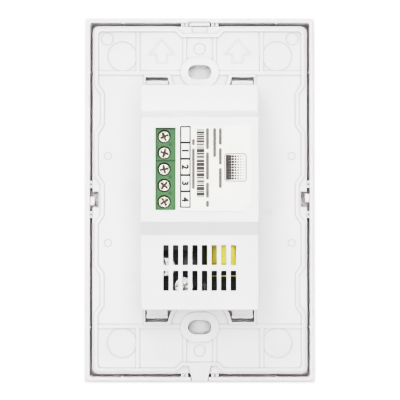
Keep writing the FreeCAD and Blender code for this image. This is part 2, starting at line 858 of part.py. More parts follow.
def make_mounting_plate():
    body = new_body("mounting_plate")
    slab = sketch(body, "XZ_Plane", plate_floor)
    rounded_rectangle(slab, (-plate_x, plate_x), (-plate_z, plate_z), mm.plate_corner)
    pad(body, slab, mm.plate_thickness)
    # the edge turns forward as a skirt
    edge = sketch(body, "XZ_Plane", plate_floor)
    inner_x = plate_x - mm.skirt_wall
    inner_z = plate_z - mm.skirt_wall
    rounded_rectangle(edge, (-plate_x, plate_x), (-plate_z, plate_z), mm.plate_corner)
    rounded_rectangle(edge, (-inner_x, inner_x), (-inner_z, inner_z), mm.plate_corner - mm.skirt_wall)
    pad(body, edge, plate_floor - skirt_front)
    # windows for the snap arms, and the arched walls that keep them clear of the slots
    windows = sketch(body, "XZ_Plane", plate_floor)
    for end in ENDS:
        rectangle(
            windows,
            (-window_half_width, window_half_width),
            (end * window_root, end * window_reach),
        )
    pocket(body, windows, mm.plate_thickness)
    arches = sketch(body, "XZ_Plane", 0)
    for end in ENDS:
        circle(arches, 0, end * slot_z, arch_outer)
    pad(body, arches, -plate_front)
    arch_floor = sketch(body, "XZ_Plane", 0)
    for end in ENDS:
        circle(arch_floor, 0, end * slot_z, mm.arch_radius)
    pocket(body, arch_floor, mm.rib_height)
    trims = sketch(body, "XZ_Plane", 0)
    seat = housing_z + mm.strip_fit
    for end in ENDS:
        rectangle(trims, (-arch_outer, arch_outer), (end * collar_z, end * (slot_z + arch_outer)))
        rectangle(trims, (-arch_outer, arch_outer), (end * (slot_z - arch_outer), end * seat))
    pocket(body, trims, mm.rib_height)
    # collar walls round the windows
    collar = sketch(body, "XZ_Plane", 0)
    for end in ENDS:
        for side in ENDS:
            rectangle(
                collar,
                (side * (mm.arch_radius + mm.arch_wall / 2), side * collar_x),
                (end * window_reach, end * collar_z),
            )
    pad(body, collar, mm.rib_height)
    collar_sides = sketch(body, "XZ_Plane", 0)
    for end in ENDS:
        for side in ENDS:
            rectangle(
                collar_sides,
                (side * window_half_width, side * collar_x),
                (end * seat, end * window_reach),
            )
    pad(body, collar_sides, mm.rib_height)
    # round marks, cut before the ribs that cross them
    marks = sketch(body, "XZ_Plane", plate_floor)
    for end in ENDS:
        ring(marks, 0, end * mm.end_mark_z, mm.end_mark_radius)
        for side in ENDS:
            ring(marks, side * mm.large_mark_x, end * mm.large_mark_z, mm.large_mark_radius)
            ring(marks, side * mm.ejector_x, end * mm.ejector_z, mm.ejector_radius)
    for side in ENDS:
        ring(marks, side * mm.small_mark_x, mm.small_mark_z, mm.small_mark_radius)
    circle(marks, -mm.gate_x, -mm.gate_z, mm.gate_radius)
    pocket(body, marks, mm.mark_depth)
    # low ribs that divide the ends into panels
    ribs = sketch(body, "XZ_Plane", plate_floor + mm.web_height)
    rib_end = plate_z - mm.rim_inset - mm.rim_width / 2
    inner_end = rib_end - mm.end_pocket_depth
    rib_side = plate_x - mm.rim_inset - mm.rim_width / 2
    for end in ENDS:
        rectangle(ribs, (-rib_side, rib_side), span(end * mm.cross_rib_z, mm.cross_rib_width))
    pad(body, ribs, mm.web_height)
    uprights = sketch(body, "XZ_Plane", plate_floor + mm.web_height)
    for end in ENDS:
        for side in ENDS:
            rectangle(
                uprights,
                span(side * mm.outer_rib_x, mm.outer_rib_width),
                (end * mm.cross_rib_z, end * rib_end),
            )
            rectangle(
                uprights,
                span(side * mm.inner_rib_x, mm.inner_rib_width),
                (end * mm.cross_rib_z, end * inner_end),
            )
    pad(body, uprights, mm.web_height)
    # perimeter rib with its pockets
    rim = sketch(body, "XZ_Plane", 0)
    outline(rim, rim_loop(mm.rim_inset, 0))
    outline(rim, rim_loop(mm.rim_inset + mm.rim_width, mm.rim_width))
    pad(body, rim, mm.rib_height)
    rim_x = (plate_x - mm.rim_inset).number
    rim_z = (plate_z - mm.rim_inset).number

    def rim_corner(edge):
        middle = edge.CenterOfMass
        return (
            along_y(edge)
            and abs(abs(middle.x) - rim_x) < mm.rim_width.number + NEAR
            and abs(abs(middle.z) - rim_z) < mm.rim_width.number + NEAR
        )

    dress(body, "Fillet", "Radius", edge_names(body.Shape, rim_corner), mm.rim_corner)
    # bosses, slots and arrows
    bosses = sketch(body, "XZ_Plane", 0)
    for end in ENDS:
        stadium(
            bosses,
            0,
            end * slot_z,
            mm.slot_length + 2 * mm.slot_margin,
            mm.slot_width + 2 * mm.slot_margin,
        )
    pad(body, bosses, mm.rib_height)
    slots = sketch(body, "XZ_Plane", 0)
    for end in ENDS:
        stadium(slots, 0, end * slot_z, mm.slot_length, mm.slot_width)
    pocket(body, slots, -plate_front)
    arrows = sketch(body, "XZ_Plane", plate_floor + mm.arrow_relief)
    for side in ENDS:
        arrow(arrows, side * mm.arrow_x)
    pad(body, arrows, mm.arrow_relief)
    # sunk floor outside the rib's end pockets, where the frame's latch and the tongue lie
    sunk = sketch(body, "XZ_Plane", plate_floor)
    narrow = mm.end_pocket_half - mm.end_pocket_run
    spread = narrow + mm.end_pocket_run * (plate_z - pocket_z) / mm.end_pocket_depth
    for end in ENDS:
        outline(
            sunk,
            [
                (-narrow, end * pocket_z),
                (narrow, end * pocket_z),
                (spread, end * plate_z),
                (-spread, end * plate_z),
            ],
        )
    pocket(body, sunk, mm.end_pocket_sink)
    # notches for the frame's clips
    notches = sketch(body, "XZ_Plane", 0)
    for side in ENDS:
        rectangle(
            notches,
            (side * (plate_x - mm.side_notch_depth), side * (plate_x + mm.side_gap)),
            span(0, mm.side_notch_height),
        )
    pocket(body, notches, -skirt_front)
    latch_notch = sketch(body, "XZ_Plane", 0)
    rectangle(
        latch_notch,
        span(0, mm.top_notch_width),
        (plate_z - mm.top_notch_depth, plate_z + mm.end_gap),
    )
    pocket(body, latch_notch, -plate_front - mm.top_notch_web)
    # tongue that shows flush in the frame's lower edge, for prying the panel off
    tongue = sketch(body, "XZ_Plane", 0)
    outline(
        tongue,
        [
            (-mm.tongue_root_width / 2, -tongue_root),
            (-mm.tongue_tip_width / 2, -frame_z),
            (mm.tongue_tip_width / 2, -frame_z),
            (mm.tongue_root_width / 2, -tongue_root),
        ],
    )
    pad(body, tongue, -plate_front)
    # posts under the power board, and pads behind the touch board
    posts = sketch(body, "XZ_Plane", board_front)
    for end in ENDS:
        for side in ENDS:
            circle(posts, side * post_x, end * post_z, mm.post_radius)
    pad(body, posts, mm.board_stand)
    supports = sketch(body, "XZ_Plane", plate_front)
    for end in ENDS:
        for side in ENDS:
            circle(supports, side * mm.support_x, end * mm.support_z, mm.support_radius)
    pad(body, supports, mm.touch_board_gap)
    holes = sketch(body, "XZ_Plane", board_front)
    for end in ENDS:
        for side in ENDS:
            circle(holes, side * post_x, end * post_z, mm.screw_radius + mm.screw_fit)
    pocket(body, holes, mm.screw_length)
    # way through for the header between the boards
    header = sketch(body, "XZ_Plane", plate_floor)
    width = HEADER_COLUMNS * mm.header_pitch + 2 * mm.header_window_play
    depth = 2 * mm.header_pitch + 2 * mm.header_window_play
    rectangle(header, span(0, width), span(header_z, depth))
    pocket(body, header, mm.plate_thickness)
    return body


def housing_profile(wall, foot):
    """The housing's side view as levels and heights, a wall's thickness inside the outer one.
    Each slope moves inwards by the wall times the tangent of half its turn."""
    head_rise = mm.deck_level - mm.head_level
    vent_rise = mm.deck_level - mm.vent_level
    head_shift = wall * (hypotenuse(head_rise, mm.head_slope) - mm.head_slope) / head_rise
    vent_shift = wall * (hypotenuse(vent_rise, mm.vent_slope) - mm.vent_slope) / vent_rise
    top = deck_high - head_shift
    bottom = deck_low + vent_shift
    end = housing_z - wall
    return [
        (foot, -end),
        (foot, end),
        (mm.head_level - wall, end),
        (mm.head_level - wall, top + mm.head_slope),
        (mm.deck_level - wall, top),
        (mm.deck_level - wall, bottom),
        (mm.vent_level - wall, bottom - mm.vent_slope),
        (mm.vent_level - wall, -end),
    ]


def make_rear_housing():
    body = new_body("rear_housing")
    drawing = sketch(body, "YZ_Plane", -housing_x)
    below = plate_front - mm.housing_wall
    outline(drawing, housing_profile(0, below))
    pad(body, drawing, 2 * housing_x)
    dress(body, "Fillet", "Radius", edge_names(body.Shape, lambda edge: True), mm.housing_round)
    foot = sketch(body, "XZ_Plane", plate_floor)
    rectangle(foot, (-housing_x, housing_x), (-housing_z, housing_z))
    pocket(body, foot, mm.plate_thickness + 2 * mm.housing_wall)
    # the hollow, open towards the plate
    hollow = sketch(body, "YZ_Plane", -housing_inner_x)
    outline(hollow, housing_profile(mm.housing_wall, below))
    pocket(body, hollow, 2 * housing_inner_x)
    # opening over the terminal screws
    deck = sketch(body, "XZ_Plane", mm.deck_level)
    rectangle(
        deck,
        (screw_x - mm.opening_inner, screw_x + mm.opening_outer),
        (block_low, block_high),
    )
    pocket(body, deck, 2 * mm.housing_wall)
    # side window for the wires
    side = sketch(body, "YZ_Plane", housing_inner_x - mm.housing_wall / 2)
    rectangle(
        side,
        (clamp_bottom, strip_bottom + mm.wire_window_rise),
        (block_low + mm.wire_window_margin, block_high - mm.wire_window_margin),
    )
    pocket(body, side, 2 * mm.housing_wall)
    # vents
    vents = sketch(body, "XZ_Plane", mm.vent_level)
    for row in ROWS:
        for column in range(VENTS_PER_ROW):
            x = (column - (VENTS_PER_ROW - 1) / 2) * mm.vent_pitch
            z = -housing_z + mm.vent_end_inset + row * mm.vent_row_spacing
            rectangle(vents, span(x, mm.vent_width), span(z, mm.vent_length))
    pocket(body, vents, 2 * mm.housing_wall)
    # lugs that the cover's snap arms hold
    lugs = sketch(body, "XZ_Plane", plate_floor)
    for end in ENDS:
        for side_sign in ENDS:
            rectangle(
                lugs,
                span(side_sign * lug_x, mm.lug_width),
                (end * (housing_z - mm.lug_root), end * lug_end),
            )
    pad(body, lugs, mm.lug_thickness)
    return body


def make_rating_label():
    body = new_body("rating_label")
    drawing = sketch(body, "XZ_Plane", mm.deck_level + mm.label_thickness)
    left = screw_x - mm.opening_inner - mm.label_screw_gap
    right = -housing_x + mm.label_side_inset
    top = deck_high - mm.label_top_inset
    bottom = deck_low + mm.label_bottom_inset
    outline(
        drawing,
        [
            (left, bottom),
            (left, top),
            (right, top),
            (right, bottom + mm.label_corner),
            (right + mm.label_corner, bottom),
        ],
    )
    pad(body, drawing, mm.label_thickness)
    return body


def make_panel_frame():
    body = new_body("panel_frame")
    outer = sketch(body, "XZ_Plane", frame_rim)
    rounded_rectangle(outer, (-frame_x, frame_x), (-frame_z, frame_z), mm.frame_corner)
    pad(body, outer, frame_rim - frame_front)
    rear = frame_rim.number
    rim_edges = edge_names(body.Shape, lambda edge: edge.BoundBox.YMin > rear - NEAR)
    dress(body, "Chamfer", "Size", rim_edges, mm.rim_chamfer)
    tray = sketch(body, "XZ_Plane", frame_rim)
    rounded_rectangle(
        tray,
        (-frame_inner_x, frame_inner_x),
        (-frame_inner_z, frame_inner_z),
        mm.frame_corner / 2,
    )
    pocket(body, tray, frame_rim - frame_floor)
    window = sketch(body, "XZ_Plane", frame_floor)
    window_x = mm.cover_half_width + mm.cover_clearance
    window_z = cover_z + mm.cover_clearance
    rectangle(window, (-window_x, window_x), (-window_z, window_z))
    pocket(body, window, mm.floor_thickness)
    # guides that centre the frame on the plate, with a shallow groove down each
    guides = sketch(body, "XZ_Plane", frame_rim - mm.guide_drop)
    grooves = sketch(body, "XZ_Plane", frame_rim - mm.guide_drop)
    middle = (mm.guide_inner + mm.guide_outer) / 2
    guide_low_x = plate_x + mm.guide_clearance
    guide_low_z = plate_z + mm.guide_clearance
    for sign in ENDS:
        for end in ENDS:
            along = (sign * mm.guide_inner, sign * mm.guide_outer)
            notch = span(sign * middle, mm.guide_groove)
            across_x = (end * guide_low_x, end * (frame_inner_x + mm.frame_wall / 2))
            across_z = (end * guide_low_z, end * (frame_inner_z + mm.frame_wall / 2))
            rectangle(guides, across_x, along)
            rectangle(guides, along, across_z)
            rectangle(grooves, (across_x[0], end * (frame_inner_x - mm.guide_clearance)), notch)
            rectangle(grooves, notch, (across_z[0], end * (frame_inner_z - mm.guide_clearance)))
    pad(body, guides, frame_rim - mm.guide_drop - frame_floor)
    pocket(body, grooves, mm.guide_drop)
    # side tabs that stand in the plate's notches
    tabs = sketch(body, "XZ_Plane", frame_rim - mm.tab_drop)
    for side in ENDS:
        rectangle(
            tabs,
            (side * (frame_inner_x - mm.tab_length), side * (frame_inner_x + mm.frame_wall / 2)),
            span(-side * mm.tab_offset, mm.tab_height),
        )
    pad(body, tabs, mm.tab_thickness)
    # latch over the top notch: the wall stands lower there and reaches in to the plate's edge
    recess = sketch(body, "XZ_Plane", frame_rim)
    latch_z = frame_inner_z + mm.latch_recess
    rectangle(recess, span(0, mm.latch_width), (frame_inner_z - mm.latch_reach, latch_z))
    pocket(body, recess, mm.latch_drop)
    latch = sketch(body, "XZ_Plane", frame_rim - mm.latch_drop)
    rectangle(latch, span(0, mm.latch_width), (frame_inner_z - mm.latch_reach, latch_z))
    pad(body, latch, frame_rim - mm.latch_drop - frame_floor)
    # notch round the plate's pry tongue, open to the rear
    notch = sketch(body, "XZ_Plane", frame_rim)
    tongue_run = frame_z - tongue_root
    slope = (mm.tongue_root_width - mm.tongue_tip_width) / (2 * tongue_run)
    reach = mm.end_gap / 2
    tip = mm.tongue_tip_width / 2 + mm.tongue_clearance
    inner = tip + slope * (mm.frame_wall + reach)
    outer_tip = tip - slope * reach
    outline(
        notch,
        [
            (-inner, -frame_inner_z + reach),
            (-outer_tip, -frame_z - reach),
            (outer_tip, -frame_z - reach),
            (inner, -frame_inner_z + reach),
        ],
    )
    pocket(body, notch, frame_rim - plate_front + mm.tongue_clearance)
    # crush ribs
    crush = sketch(body, "XZ_Plane", frame_rim - mm.guide_drop)
    for side in ENDS:
        for end in ENDS:
            circle(crush, side * mm.crush_x, end * frame_inner_z, mm.crush_radius)
            circle(crush, side * frame_inner_x, end * mm.crush_z, mm.crush_radius)
    pad(body, crush, frame_rim - mm.guide_drop - frame_floor)
    return body


def make_glass_panel():
    body = new_body("glass_panel")
    drawing = sketch(body, "XZ_Plane", glass_rear)
    rounded_rectangle(drawing, (-glass_x, glass_x), (-glass_z, glass_z), mm.glass_corner)
    pad(body, drawing, mm.glass_thickness)
    front = glass_front.number
    edges = edge_names(body.Shape, lambda edge: edge.BoundBox.YMax < front + NEAR)
    dress(body, "Chamfer", "Size", edges, mm.glass_bevel)
    marks = sketch(body, "XZ_Plane", glass_front + mm.ring_depth)
    for key in ENDS:
        circle(marks, 0, key * key_z, mm.ring_radius)
        circle(marks, 0, key * key_z, mm.ring_radius - mm.ring_line)
    pocket(body, marks, mm.ring_depth)
    return body


def make_touch_rings():
    rings = []
    for number, key in enumerate(ENDS, start=1):
        x = 0
        rear = glass_front + mm.ring_depth
        outer = rod("ring_%d_outer" % number, x, key * key_z, mm.ring_radius, glass_front, rear)
        inner = rod(
            "ring_%d_inner" % number, x, key * key_z, mm.ring_radius - mm.ring_line, glass_front, rear
        )
        rings.append(cut("ring_%d" % number, outer, [inner]))
    return group("touch_rings", rings)


def make_adhesive_tape():
    body = new_body("adhesive_tape")
    drawing = sketch(body, "XZ_Plane", frame_front)
    x = frame_x - mm.tape_inset
    z = frame_z - mm.tape_inset
    inner_x = mm.cover_half_width + mm.cover_clearance + mm.tape_inset
    inner_z = cover_z + mm.cover_clearance + mm.tape_inset
    rectangle(drawing, (-x, x), (-z, z))
    rectangle(drawing, (-inner_x, inner_x), (-inner_z, inner_z))
    pad(body, drawing, mm.tape_thickness)
    return body


def make_inner_cover():
    """A shallow tray over the touch board. Round cuts leave the box screws free, and four snap
    arms reach back through the plate's windows over the housing's lugs."""
    x = mm.cover_half_width
    inner_x = x - mm.cover_wall
    inner_z = cover_z - mm.cover_wall
    cut_radius = arch_outer + mm.cover_cut_margin
    tray = box("cover_block", (-x, x), (cover_front, plate_front), (-cover_z, cover_z))
    hollow = box(
        "cover_hollow", (-inner_x, inner_x), (cover_inside, plate_front), (-inner_z, inner_z)
    )
    screw_cuts = []
    kept = []
    for number, end in enumerate(ENDS, start=1):
        places = (0, end * slot_z)
        screw_cuts.append(rod("cover_cut_%d" % number, *places, cut_radius, cover_front, plate_front))
        kept.append(
            rod("cover_kept_%d" % number, *places, cut_radius + mm.cover_wall, cover_front, plate_front)
        )
    shell = cut("cover_shell", tray, [cut("cover_inside", hollow, kept)] + screw_cuts)
    additions = []
    key_holes = []
    key_radius = guide_outer_radius + mm.guide_fit
    for number, end in enumerate(ENDS, start=1):
        key_holes.append(
            rod("key_hole_%d" % number, 0, end * key_z, key_radius, cover_front, cover_inside)
        )
        for side in ENDS:
            tag = "%d_%s" % (number, "left" if side > 0 else "right")
            additions.append(
                rod(
                    "cover_post_" + tag,
                    side * mm.support_x,
                    end * mm.support_z,
                    mm.support_radius,
                    cover_inside - mm.cover_face / 2,
                    touch_front,
                )
            )
            arm_x = span(side * lug_x, mm.snap_width)
            arm_z = ordered(end * cover_z, end * (cover_z - mm.snap_thickness))
            barb_z = ordered(end * cover_z, end * (cover_z - mm.snap_thickness - mm.snap_barb))
            top = -mm.snap_top
            additions.append(box("snap_arm_" + tag, arm_x, (cover_inside, top), arm_z))
            additions.append(box("snap_barb_" + tag, arm_x, (top - mm.snap_barb_depth, top), barb_z))
    return cut("inner_cover", fuse("cover_body", [shell] + additions), key_holes)


def board_slab(name, x, z, low, high, holes):
    """A circuit board with its round holes, each given as a place and a radius."""
    body = new_body(name)
    drawing = sketch(body, "XZ_Plane", high)
    rectangle(drawing, x, z)
    for hole_x, hole_z, radius in holes:
        circle(drawing, hole_x, hole_z, radius)
    pad(body, drawing, high - low)
    return body


def header_places():
    """The header's pins: two rows across the board."""
    places = []
    for row in ROWS:
        for column in range(HEADER_COLUMNS):
            x = (column - (HEADER_COLUMNS - 1) / 2) * mm.header_pitch
            places.append((x, header_z + row * mm.header_pitch))
    return places


def make_power_board():
    x = housing_inner_x - mm.board_margin
    z = housing_inner_z - mm.board_margin
    holes = [
        (side * post_x, end * post_z, mm.screw_hole) for side in ENDS for end in ENDS
    ]
    holes += [(pin_x, way, mm.pin_hole) for way in WAYS]
    holes += [(*place, mm.header_hole) for place in header_places()]
    return board_slab("power_board", (-x, x), (-z, z), board_front, board_rear, holes)


def make_touch_board():
    x = mm.touch_board_width / 2
    z = mm.touch_board_height / 2
    return board_slab("touch_board", (-x, x), (-z, z), touch_front, touch_rear, [])


def make_terminal_block(name, ways):
    """A block whose ways each hold a screw head in a round well, a clamp in a chamber and a
    contact strip, with a mouth for the wire in the side."""
    low_z = ways[-1] - mm.way_pitch / 2 + mm.block_fit / 2
    high_z = ways[0] + mm.way_pitch / 2 - mm.block_fit / 2
    case = rounded_block(
        name + "_case", (block_back, block_face), (low_z, high_z), board_rear, block_top, mm.head_bevel
    )
    tools = []
    chamber_half = mm.clamp_length / 2 + mm.chamber_play
    for number, way in enumerate(ways, start=1):
        tag = "%s_%d" % (name, number)
        well = mm.head_radius + mm.head_side_play
        shoulder = chamber_top + mm.shoulder
        neck = mm.shank_radius + mm.chamber_play
        tools.append(rod(tag + "_well", screw_x, way, well, shoulder, block_top + mm.overshoot))
        tools.append(rod(tag + "_neck", screw_x, way, neck, chamber_top, shoulder))
        chamber_x = (screw_x - chamber_half, screw_x + chamber_half)
        chamber_z = span(way, mm.clamp_width + 2 * mm.chamber_play)
        tools.append(box(tag + "_chamber", chamber_x, (chamber_bottom, chamber_top), chamber_z))
        mouth_y = (clamp_bottom + mm.clamp_bottom_wall, strip_bottom)
        mouth_x = (screw_x, block_face + mm.overshoot)
        tools.append(box(tag + "_mouth", mouth_x, mouth_y, span(way, mm.mouth_width)))
        pin_low = block_back + mm.pin_inset - mm.strip_fit
        strip_y = (strip_bottom - mm.strip_fit, strip_top + mm.strip_fit)
        strip_z = span(way, mm.strip_width + 2 * mm.strip_fit)
        tools.append(box(tag + "_strip_way", (pin_low, screw_x), strip_y, strip_z))
        pin_high = pin_low + mm.pin_thickness + 2 * mm.strip_fit
        pin_z = span(way, mm.pin_width + 2 * mm.strip_fit)
        tools.append(box(tag + "_pin_way", (pin_low, pin_high), (board_rear, strip_top), pin_z))
    return cut(name, case, tools)


def make_terminal_contacts():
    """Each contact is a strip through the clamp with a pin down through the board."""
    contacts = []
    for number, way in enumerate(WAYS, start=1):
        low = block_back + mm.pin_inset
        reach = screw_x + mm.clamp_length / 2
        strip = box(
            "contact_strip_%d" % number, (low, reach), (strip_bottom, strip_top), span(way, mm.strip_width)
        )
        pin = box(
            "contact_pin_%d" % number,
            (low, low + mm.pin_thickness),
            (board_front - mm.pin_tail, strip_top),
            span(way, mm.pin_width),
        )
        contacts.append(fuse("contact_%d" % number, [strip, pin]))
    return group("terminal_contacts", contacts)


def make_terminal_screw(number, way):
    """A captive screw with a cross recess, turned to the angle it was left at."""
    name = "terminal_screw_%d" % number
    body = new_body(name)
    drawing = sketch(body, "XY_Plane", 0)
    tip = strip_top + mm.screw_end_gap
    outline(
        drawing,
        [
            (0, tip),
            (mm.shank_radius - mm.head_bevel, tip),
            (mm.shank_radius, tip + mm.head_bevel),
            (mm.shank_radius, head_bottom),
            (mm.head_radius, head_bottom),
            (mm.head_radius, head_top - mm.head_bevel),
            (mm.head_radius - mm.head_bevel, head_top),
            (0, head_top),
        ],
    )
    revolve(body, drawing)
    for long_x, long_z in ((mm.cross_length, mm.cross_width), (mm.cross_width, mm.cross_length)):
        slot = sketch(body, "XZ_Plane", head_top)
        rectangle(slot, span(0, long_x), span(0, long_z))
        pocket(body, slot, mm.cross_depth)
    turn = FreeCAD.Rotation(FreeCAD.Vector(0, 1, 0), SCREW_TURNS[number - 1])
    body.Placement = FreeCAD.Placement(FreeCAD.Vector(), turn)
    bind(body, "Placement.Base.x", screw_x)
    bind(body, "Placement.Base.z", way)
    return body


def make_wire_clamp(number, way):
    """The rising cage: the screw's thread runs in its upper wall, and the wire lies between its
    lower wall and the contact strip."""
    name = "wire_clamp_%d" % number
    outer = box(
        name + "_block",
        span(screw_x, mm.clamp_length),
        (clamp_bottom, clamp_top),
        span(way, mm.clamp_width),
    )
    inside = box(
        name + "_inside",
        span(screw_x, 2 * mm.clamp_length),
        (clamp_bottom + mm.clamp_bottom_wall, clamp_top - mm.clamp_top_wall),
        span(way, mm.clamp_width - 2 * mm.clamp_side_wall),
    )
    bore_low = clamp_top - 2 * mm.clamp_top_wall
    bore_radius = mm.shank_radius + mm.shank_play
    bore = rod(name + "_bore", screw_x, way, bore_radius, bore_low, clamp_top)
    return cut(name, outer, [inside, bore])


def make_board_screws():
    screws = []
    top = board_rear + mm.screw_head_height
    tip = board_rear - mm.screw_length
    for row, end in enumerate(ENDS, start=1):
        for column, side in enumerate(ENDS, start=1):
            tag = "%d_%d" % (row, column)
            place = (side * post_x, end * post_z)
            head = rod("screw_head_" + tag, *place, mm.screw_head_radius, board_rear, top)
            shank = rod("screw_shank_" + tag, *place, mm.screw_radius, tip, board_rear)
            slot = box(
                "screw_slot_" + tag,
                span(place[0], 2 * mm.screw_head_radius),
                (top - mm.screw_slot, top),
                span(place[1], mm.screw_slot),
            )
            screws.append(cut("board_screw_" + tag, fuse("screw_" + tag, [head, shank]), [slot]))
    return group("board_screws", screws)


def make_can(name, x, z, radius, height):
    """A round capacitor: a rolled groove near the foot and a pressed rim on top."""
    body = new_body(name)
    drawing = sketch(body, "XY_Plane", 0)
    groove = mm.can_groove_rise
    outline(
        drawing,
        [
            (0, 0),
            (radius, 0),
            (radius, groove - mm.can_groove),
            (radius - mm.can_groove, groove),
            (radius, groove + mm.can_groove),
            (radius, height - mm.can_rim),
            (radius - mm.can_rim, height),
            (radius - 2 * mm.can_rim, height - mm.can_rim / 2),
            (0, height - mm.can_rim / 2),
        ],
    )
    revolve(body, drawing)
    bind(body, "Placement.Base.x", x)
    bind(body, "Placement.Base.y", board_rear)
    bind(body, "Placement.Base.z", z)
    return body


def make_choke():
    """A drum core: two flanges on a waist, which the wire fills."""
    body = new_body("choke")
    drawing = sketch(body, "XY_Plane", 0)
    outline(
        drawing,
        [
            (0, 0),
            (mm.choke_radius, 0),
            (mm.choke_radius, mm.choke_flange),
            (mm.choke_waist, mm.choke_flange),
            (mm.choke_waist, mm.choke_height - mm.choke_flange),
            (mm.choke_radius, mm.choke_height - mm.choke_flange),
            (mm.choke_radius, mm.choke_height),
            (0, mm.choke_height),
        ],
    )
    revolve(body, drawing)
    bind(body, "Placement.Base.x", choke_x)
    bind(body, "Placement.Base.y", board_rear)
    bind(body, "Placement.Base.z", choke_z)
    return body


def make_disc(name, x, z, radius, thickness, across):
    """A dipped disc standing on its edge, flat across Z or across X."""
    body = new_body(name)
    drawing = sketch(body, "XY_Plane", 0)
    half = thickness / 2
    inset = half * mm.disc_edge_inset
    flat = half * mm.disc_edge_flat
    outline(
        drawing,
        [
            (0, -half),
            (radius - inset, -half),
            (radius, -flat),
            (radius, flat),
            (radius - inset, half),
            (0, half),
        ],
    )
    revolve(body, drawing)
    axis = FreeCAD.Vector(1, 0, 0) if across == "Z" else FreeCAD.Vector(0, 0, 1)
    body.Placement = FreeCAD.Placement(FreeCAD.Vector(), FreeCAD.Rotation(axis, 90))
    bind(body, "Placement.Base.x", x)
    bind(body, "Placement.Base.y", board_rear + radius)
    bind(body, "Placement.Base.z", z)
    return body


def on_board(name, x, z, width, depth, height, rounding):
    """A moulded part that stands on the power board."""
    return rounded_block(
        name, span(x, width), span(z, depth), board_rear, board_rear + height, rounding
    )


def make_relay(name, x, z):
    sizes = (mm.relay_width, mm.relay_depth, mm.relay_height)
    return on_board(name, x, z, *sizes, mm.relay_round)


winding_low = board_rear + mm.winding_stand
winding_y = (winding_low, winding_low + mm.winding_height)
winding_middle = winding_low + mm.winding_height / 2
winding_x = span(transformer_x, mm.winding_width)
winding_z = span(transformer_z, mm.winding_length)
flange_z = span(transformer_z, mm.winding_length + 2 * mm.bobbin_flange)


def make_transformer_core():
    """Two E halves meeting round the bobbin: two end plates, two outer legs and a middle leg."""
    y = span(winding_middle, mm.core_thickness)
    low = flange_z[0] - mm.bobbin_play
    high = flange_z[1] + mm.bobbin_play
    x = span(transformer_x, mm.core_width)
    leg_y = span(winding_middle, mm.core_leg)
    pieces = [
        box("core_low_plate", x, y, (low - mm.core_plate, low)),
        box("core_high_plate", x, y, (high, high + mm.core_plate)),
        box("core_left_leg", (x[0], x[0] + mm.core_outer_leg), y, (low, high)),
        box("core_right_leg", (x[1] - mm.core_outer_leg, x[1]), y, (low, high)),
        box("core_middle_leg", span(transformer_x, mm.core_leg), leg_y, (low, high)),
    ]
    return fuse("transformer_core", pieces)


def make_transformer_bobbin():
    """A square tube with a flange at each end, on two pin rails that stand on the board."""
    tube_inside = mm.core_leg + 2 * mm.bobbin_play
    tube_outside = tube_inside + 2 * mm.bobbin_wall
    x = transformer_x
    pieces = [
        box("bobbin_tube", span(x, tube_outside), span(winding_middle, tube_outside), flange_z)
    ]
    flange_y = (board_rear, winding_y[1] + mm.bobbin_proud)
    flange_x = span(x, mm.winding_width + 2 * mm.bobbin_proud)
    for number, (near, sign) in enumerate(zip(flange_z, (1, -1)), start=1):
        flange = ordered(near, near + sign * mm.bobbin_flange)
        rail = ordered(near, near - sign * mm.rail_reach)
        rail_y = (board_rear, board_rear + mm.rail_height)
        pieces.append(box("bobbin_flange_%d" % number, flange_x, flange_y, flange))
        pieces.append(box("bobbin_rail_%d" % number, span(x, mm.rail_width), rail_y, rail))
    hole = box("bobbin_hole", span(x, tube_inside), span(winding_middle, tube_inside), flange_z)
    return cut("transformer_bobbin", fuse("bobbin_body", pieces), [hole])


def make_transformer_winding():
    """The taped winding, a rounded sleeve between the flanges."""
    body = new_body("transformer_winding")
    drawing = sketch(body, "XY_Plane", winding_z[0])
    rounded_rectangle(drawing, winding_x, winding_y, mm.winding_round)
    tube = mm.core_leg + 2 * mm.bobbin_play + 2 * mm.bobbin_wall
    rectangle(drawing, span(transformer_x, tube), span(winding_middle, tube))
    pad(body, drawing, mm.winding_length)
    return body


def make_radio():
    x = span(radio_x, mm.radio_width)
    z = span(radio_z, mm.radio_depth)
    top = board_rear + mm.radio_thickness
    board = board_slab("radio_board", x, z, board_rear, top, [])
    shield_x = (x[0] + mm.shield_inset, x[0] + mm.shield_inset + mm.shield_width)
    shield_z = span(radio_z, mm.shield_depth)
    shield = rounded_block(
        "radio_shield", shield_x, shield_z, top, top + mm.shield_height, mm.can_groove
    )
    antenna_x = (x[1] - mm.shield_inset - mm.antenna_width, x[1] - mm.shield_inset)
    antenna = box(
        "chip_antenna", antenna_x, (top, top + mm.antenna_height), span(radio_z, mm.antenna_length)
    )
    return [board, shield, antenna]


def make_header():
    """Pins held in a strip under the power board, and the socket they enter on the touch board."""
    x = span(0, HEADER_COLUMNS * mm.header_pitch)
    z = span(header_z, 2 * mm.header_pitch)
    strip = box("header_strip", x, (board_front - mm.header_body, board_front), z)
    socket_top = touch_rear + mm.socket_height
    socket = box("socket_block", x, (touch_rear, socket_top), z)
    pins = []
    strip_holes = []
    socket_holes = []
    pin_end = touch_rear + mm.header_pin_end
    for number, (pin_place_x, pin_place_z) in enumerate(header_places(), start=1):
        pin_across = span(pin_place_x, mm.header_pin)
        pin_up = span(pin_place_z, mm.header_pin)
        pins.append(box("header_pin_%d" % number, pin_across, (pin_end, board_rear), pin_up))
        strip_y = (board_front - mm.header_body, board_front)
        strip_holes.append(box("strip_hole_%d" % number, pin_across, strip_y, pin_up))
        bore_x = span(pin_place_x, mm.socket_bore)
        bore_z = span(pin_place_z, mm.socket_bore)
        bore_y = (pin_end - mm.strip_fit, socket_top)
        socket_holes.append(box("socket_hole_%d" % number, bore_x, bore_y, bore_z))
    return [
        cut("pin_header", strip, strip_holes),
        group("header_pins", pins),
        cut("header_socket", socket, socket_holes),
    ]


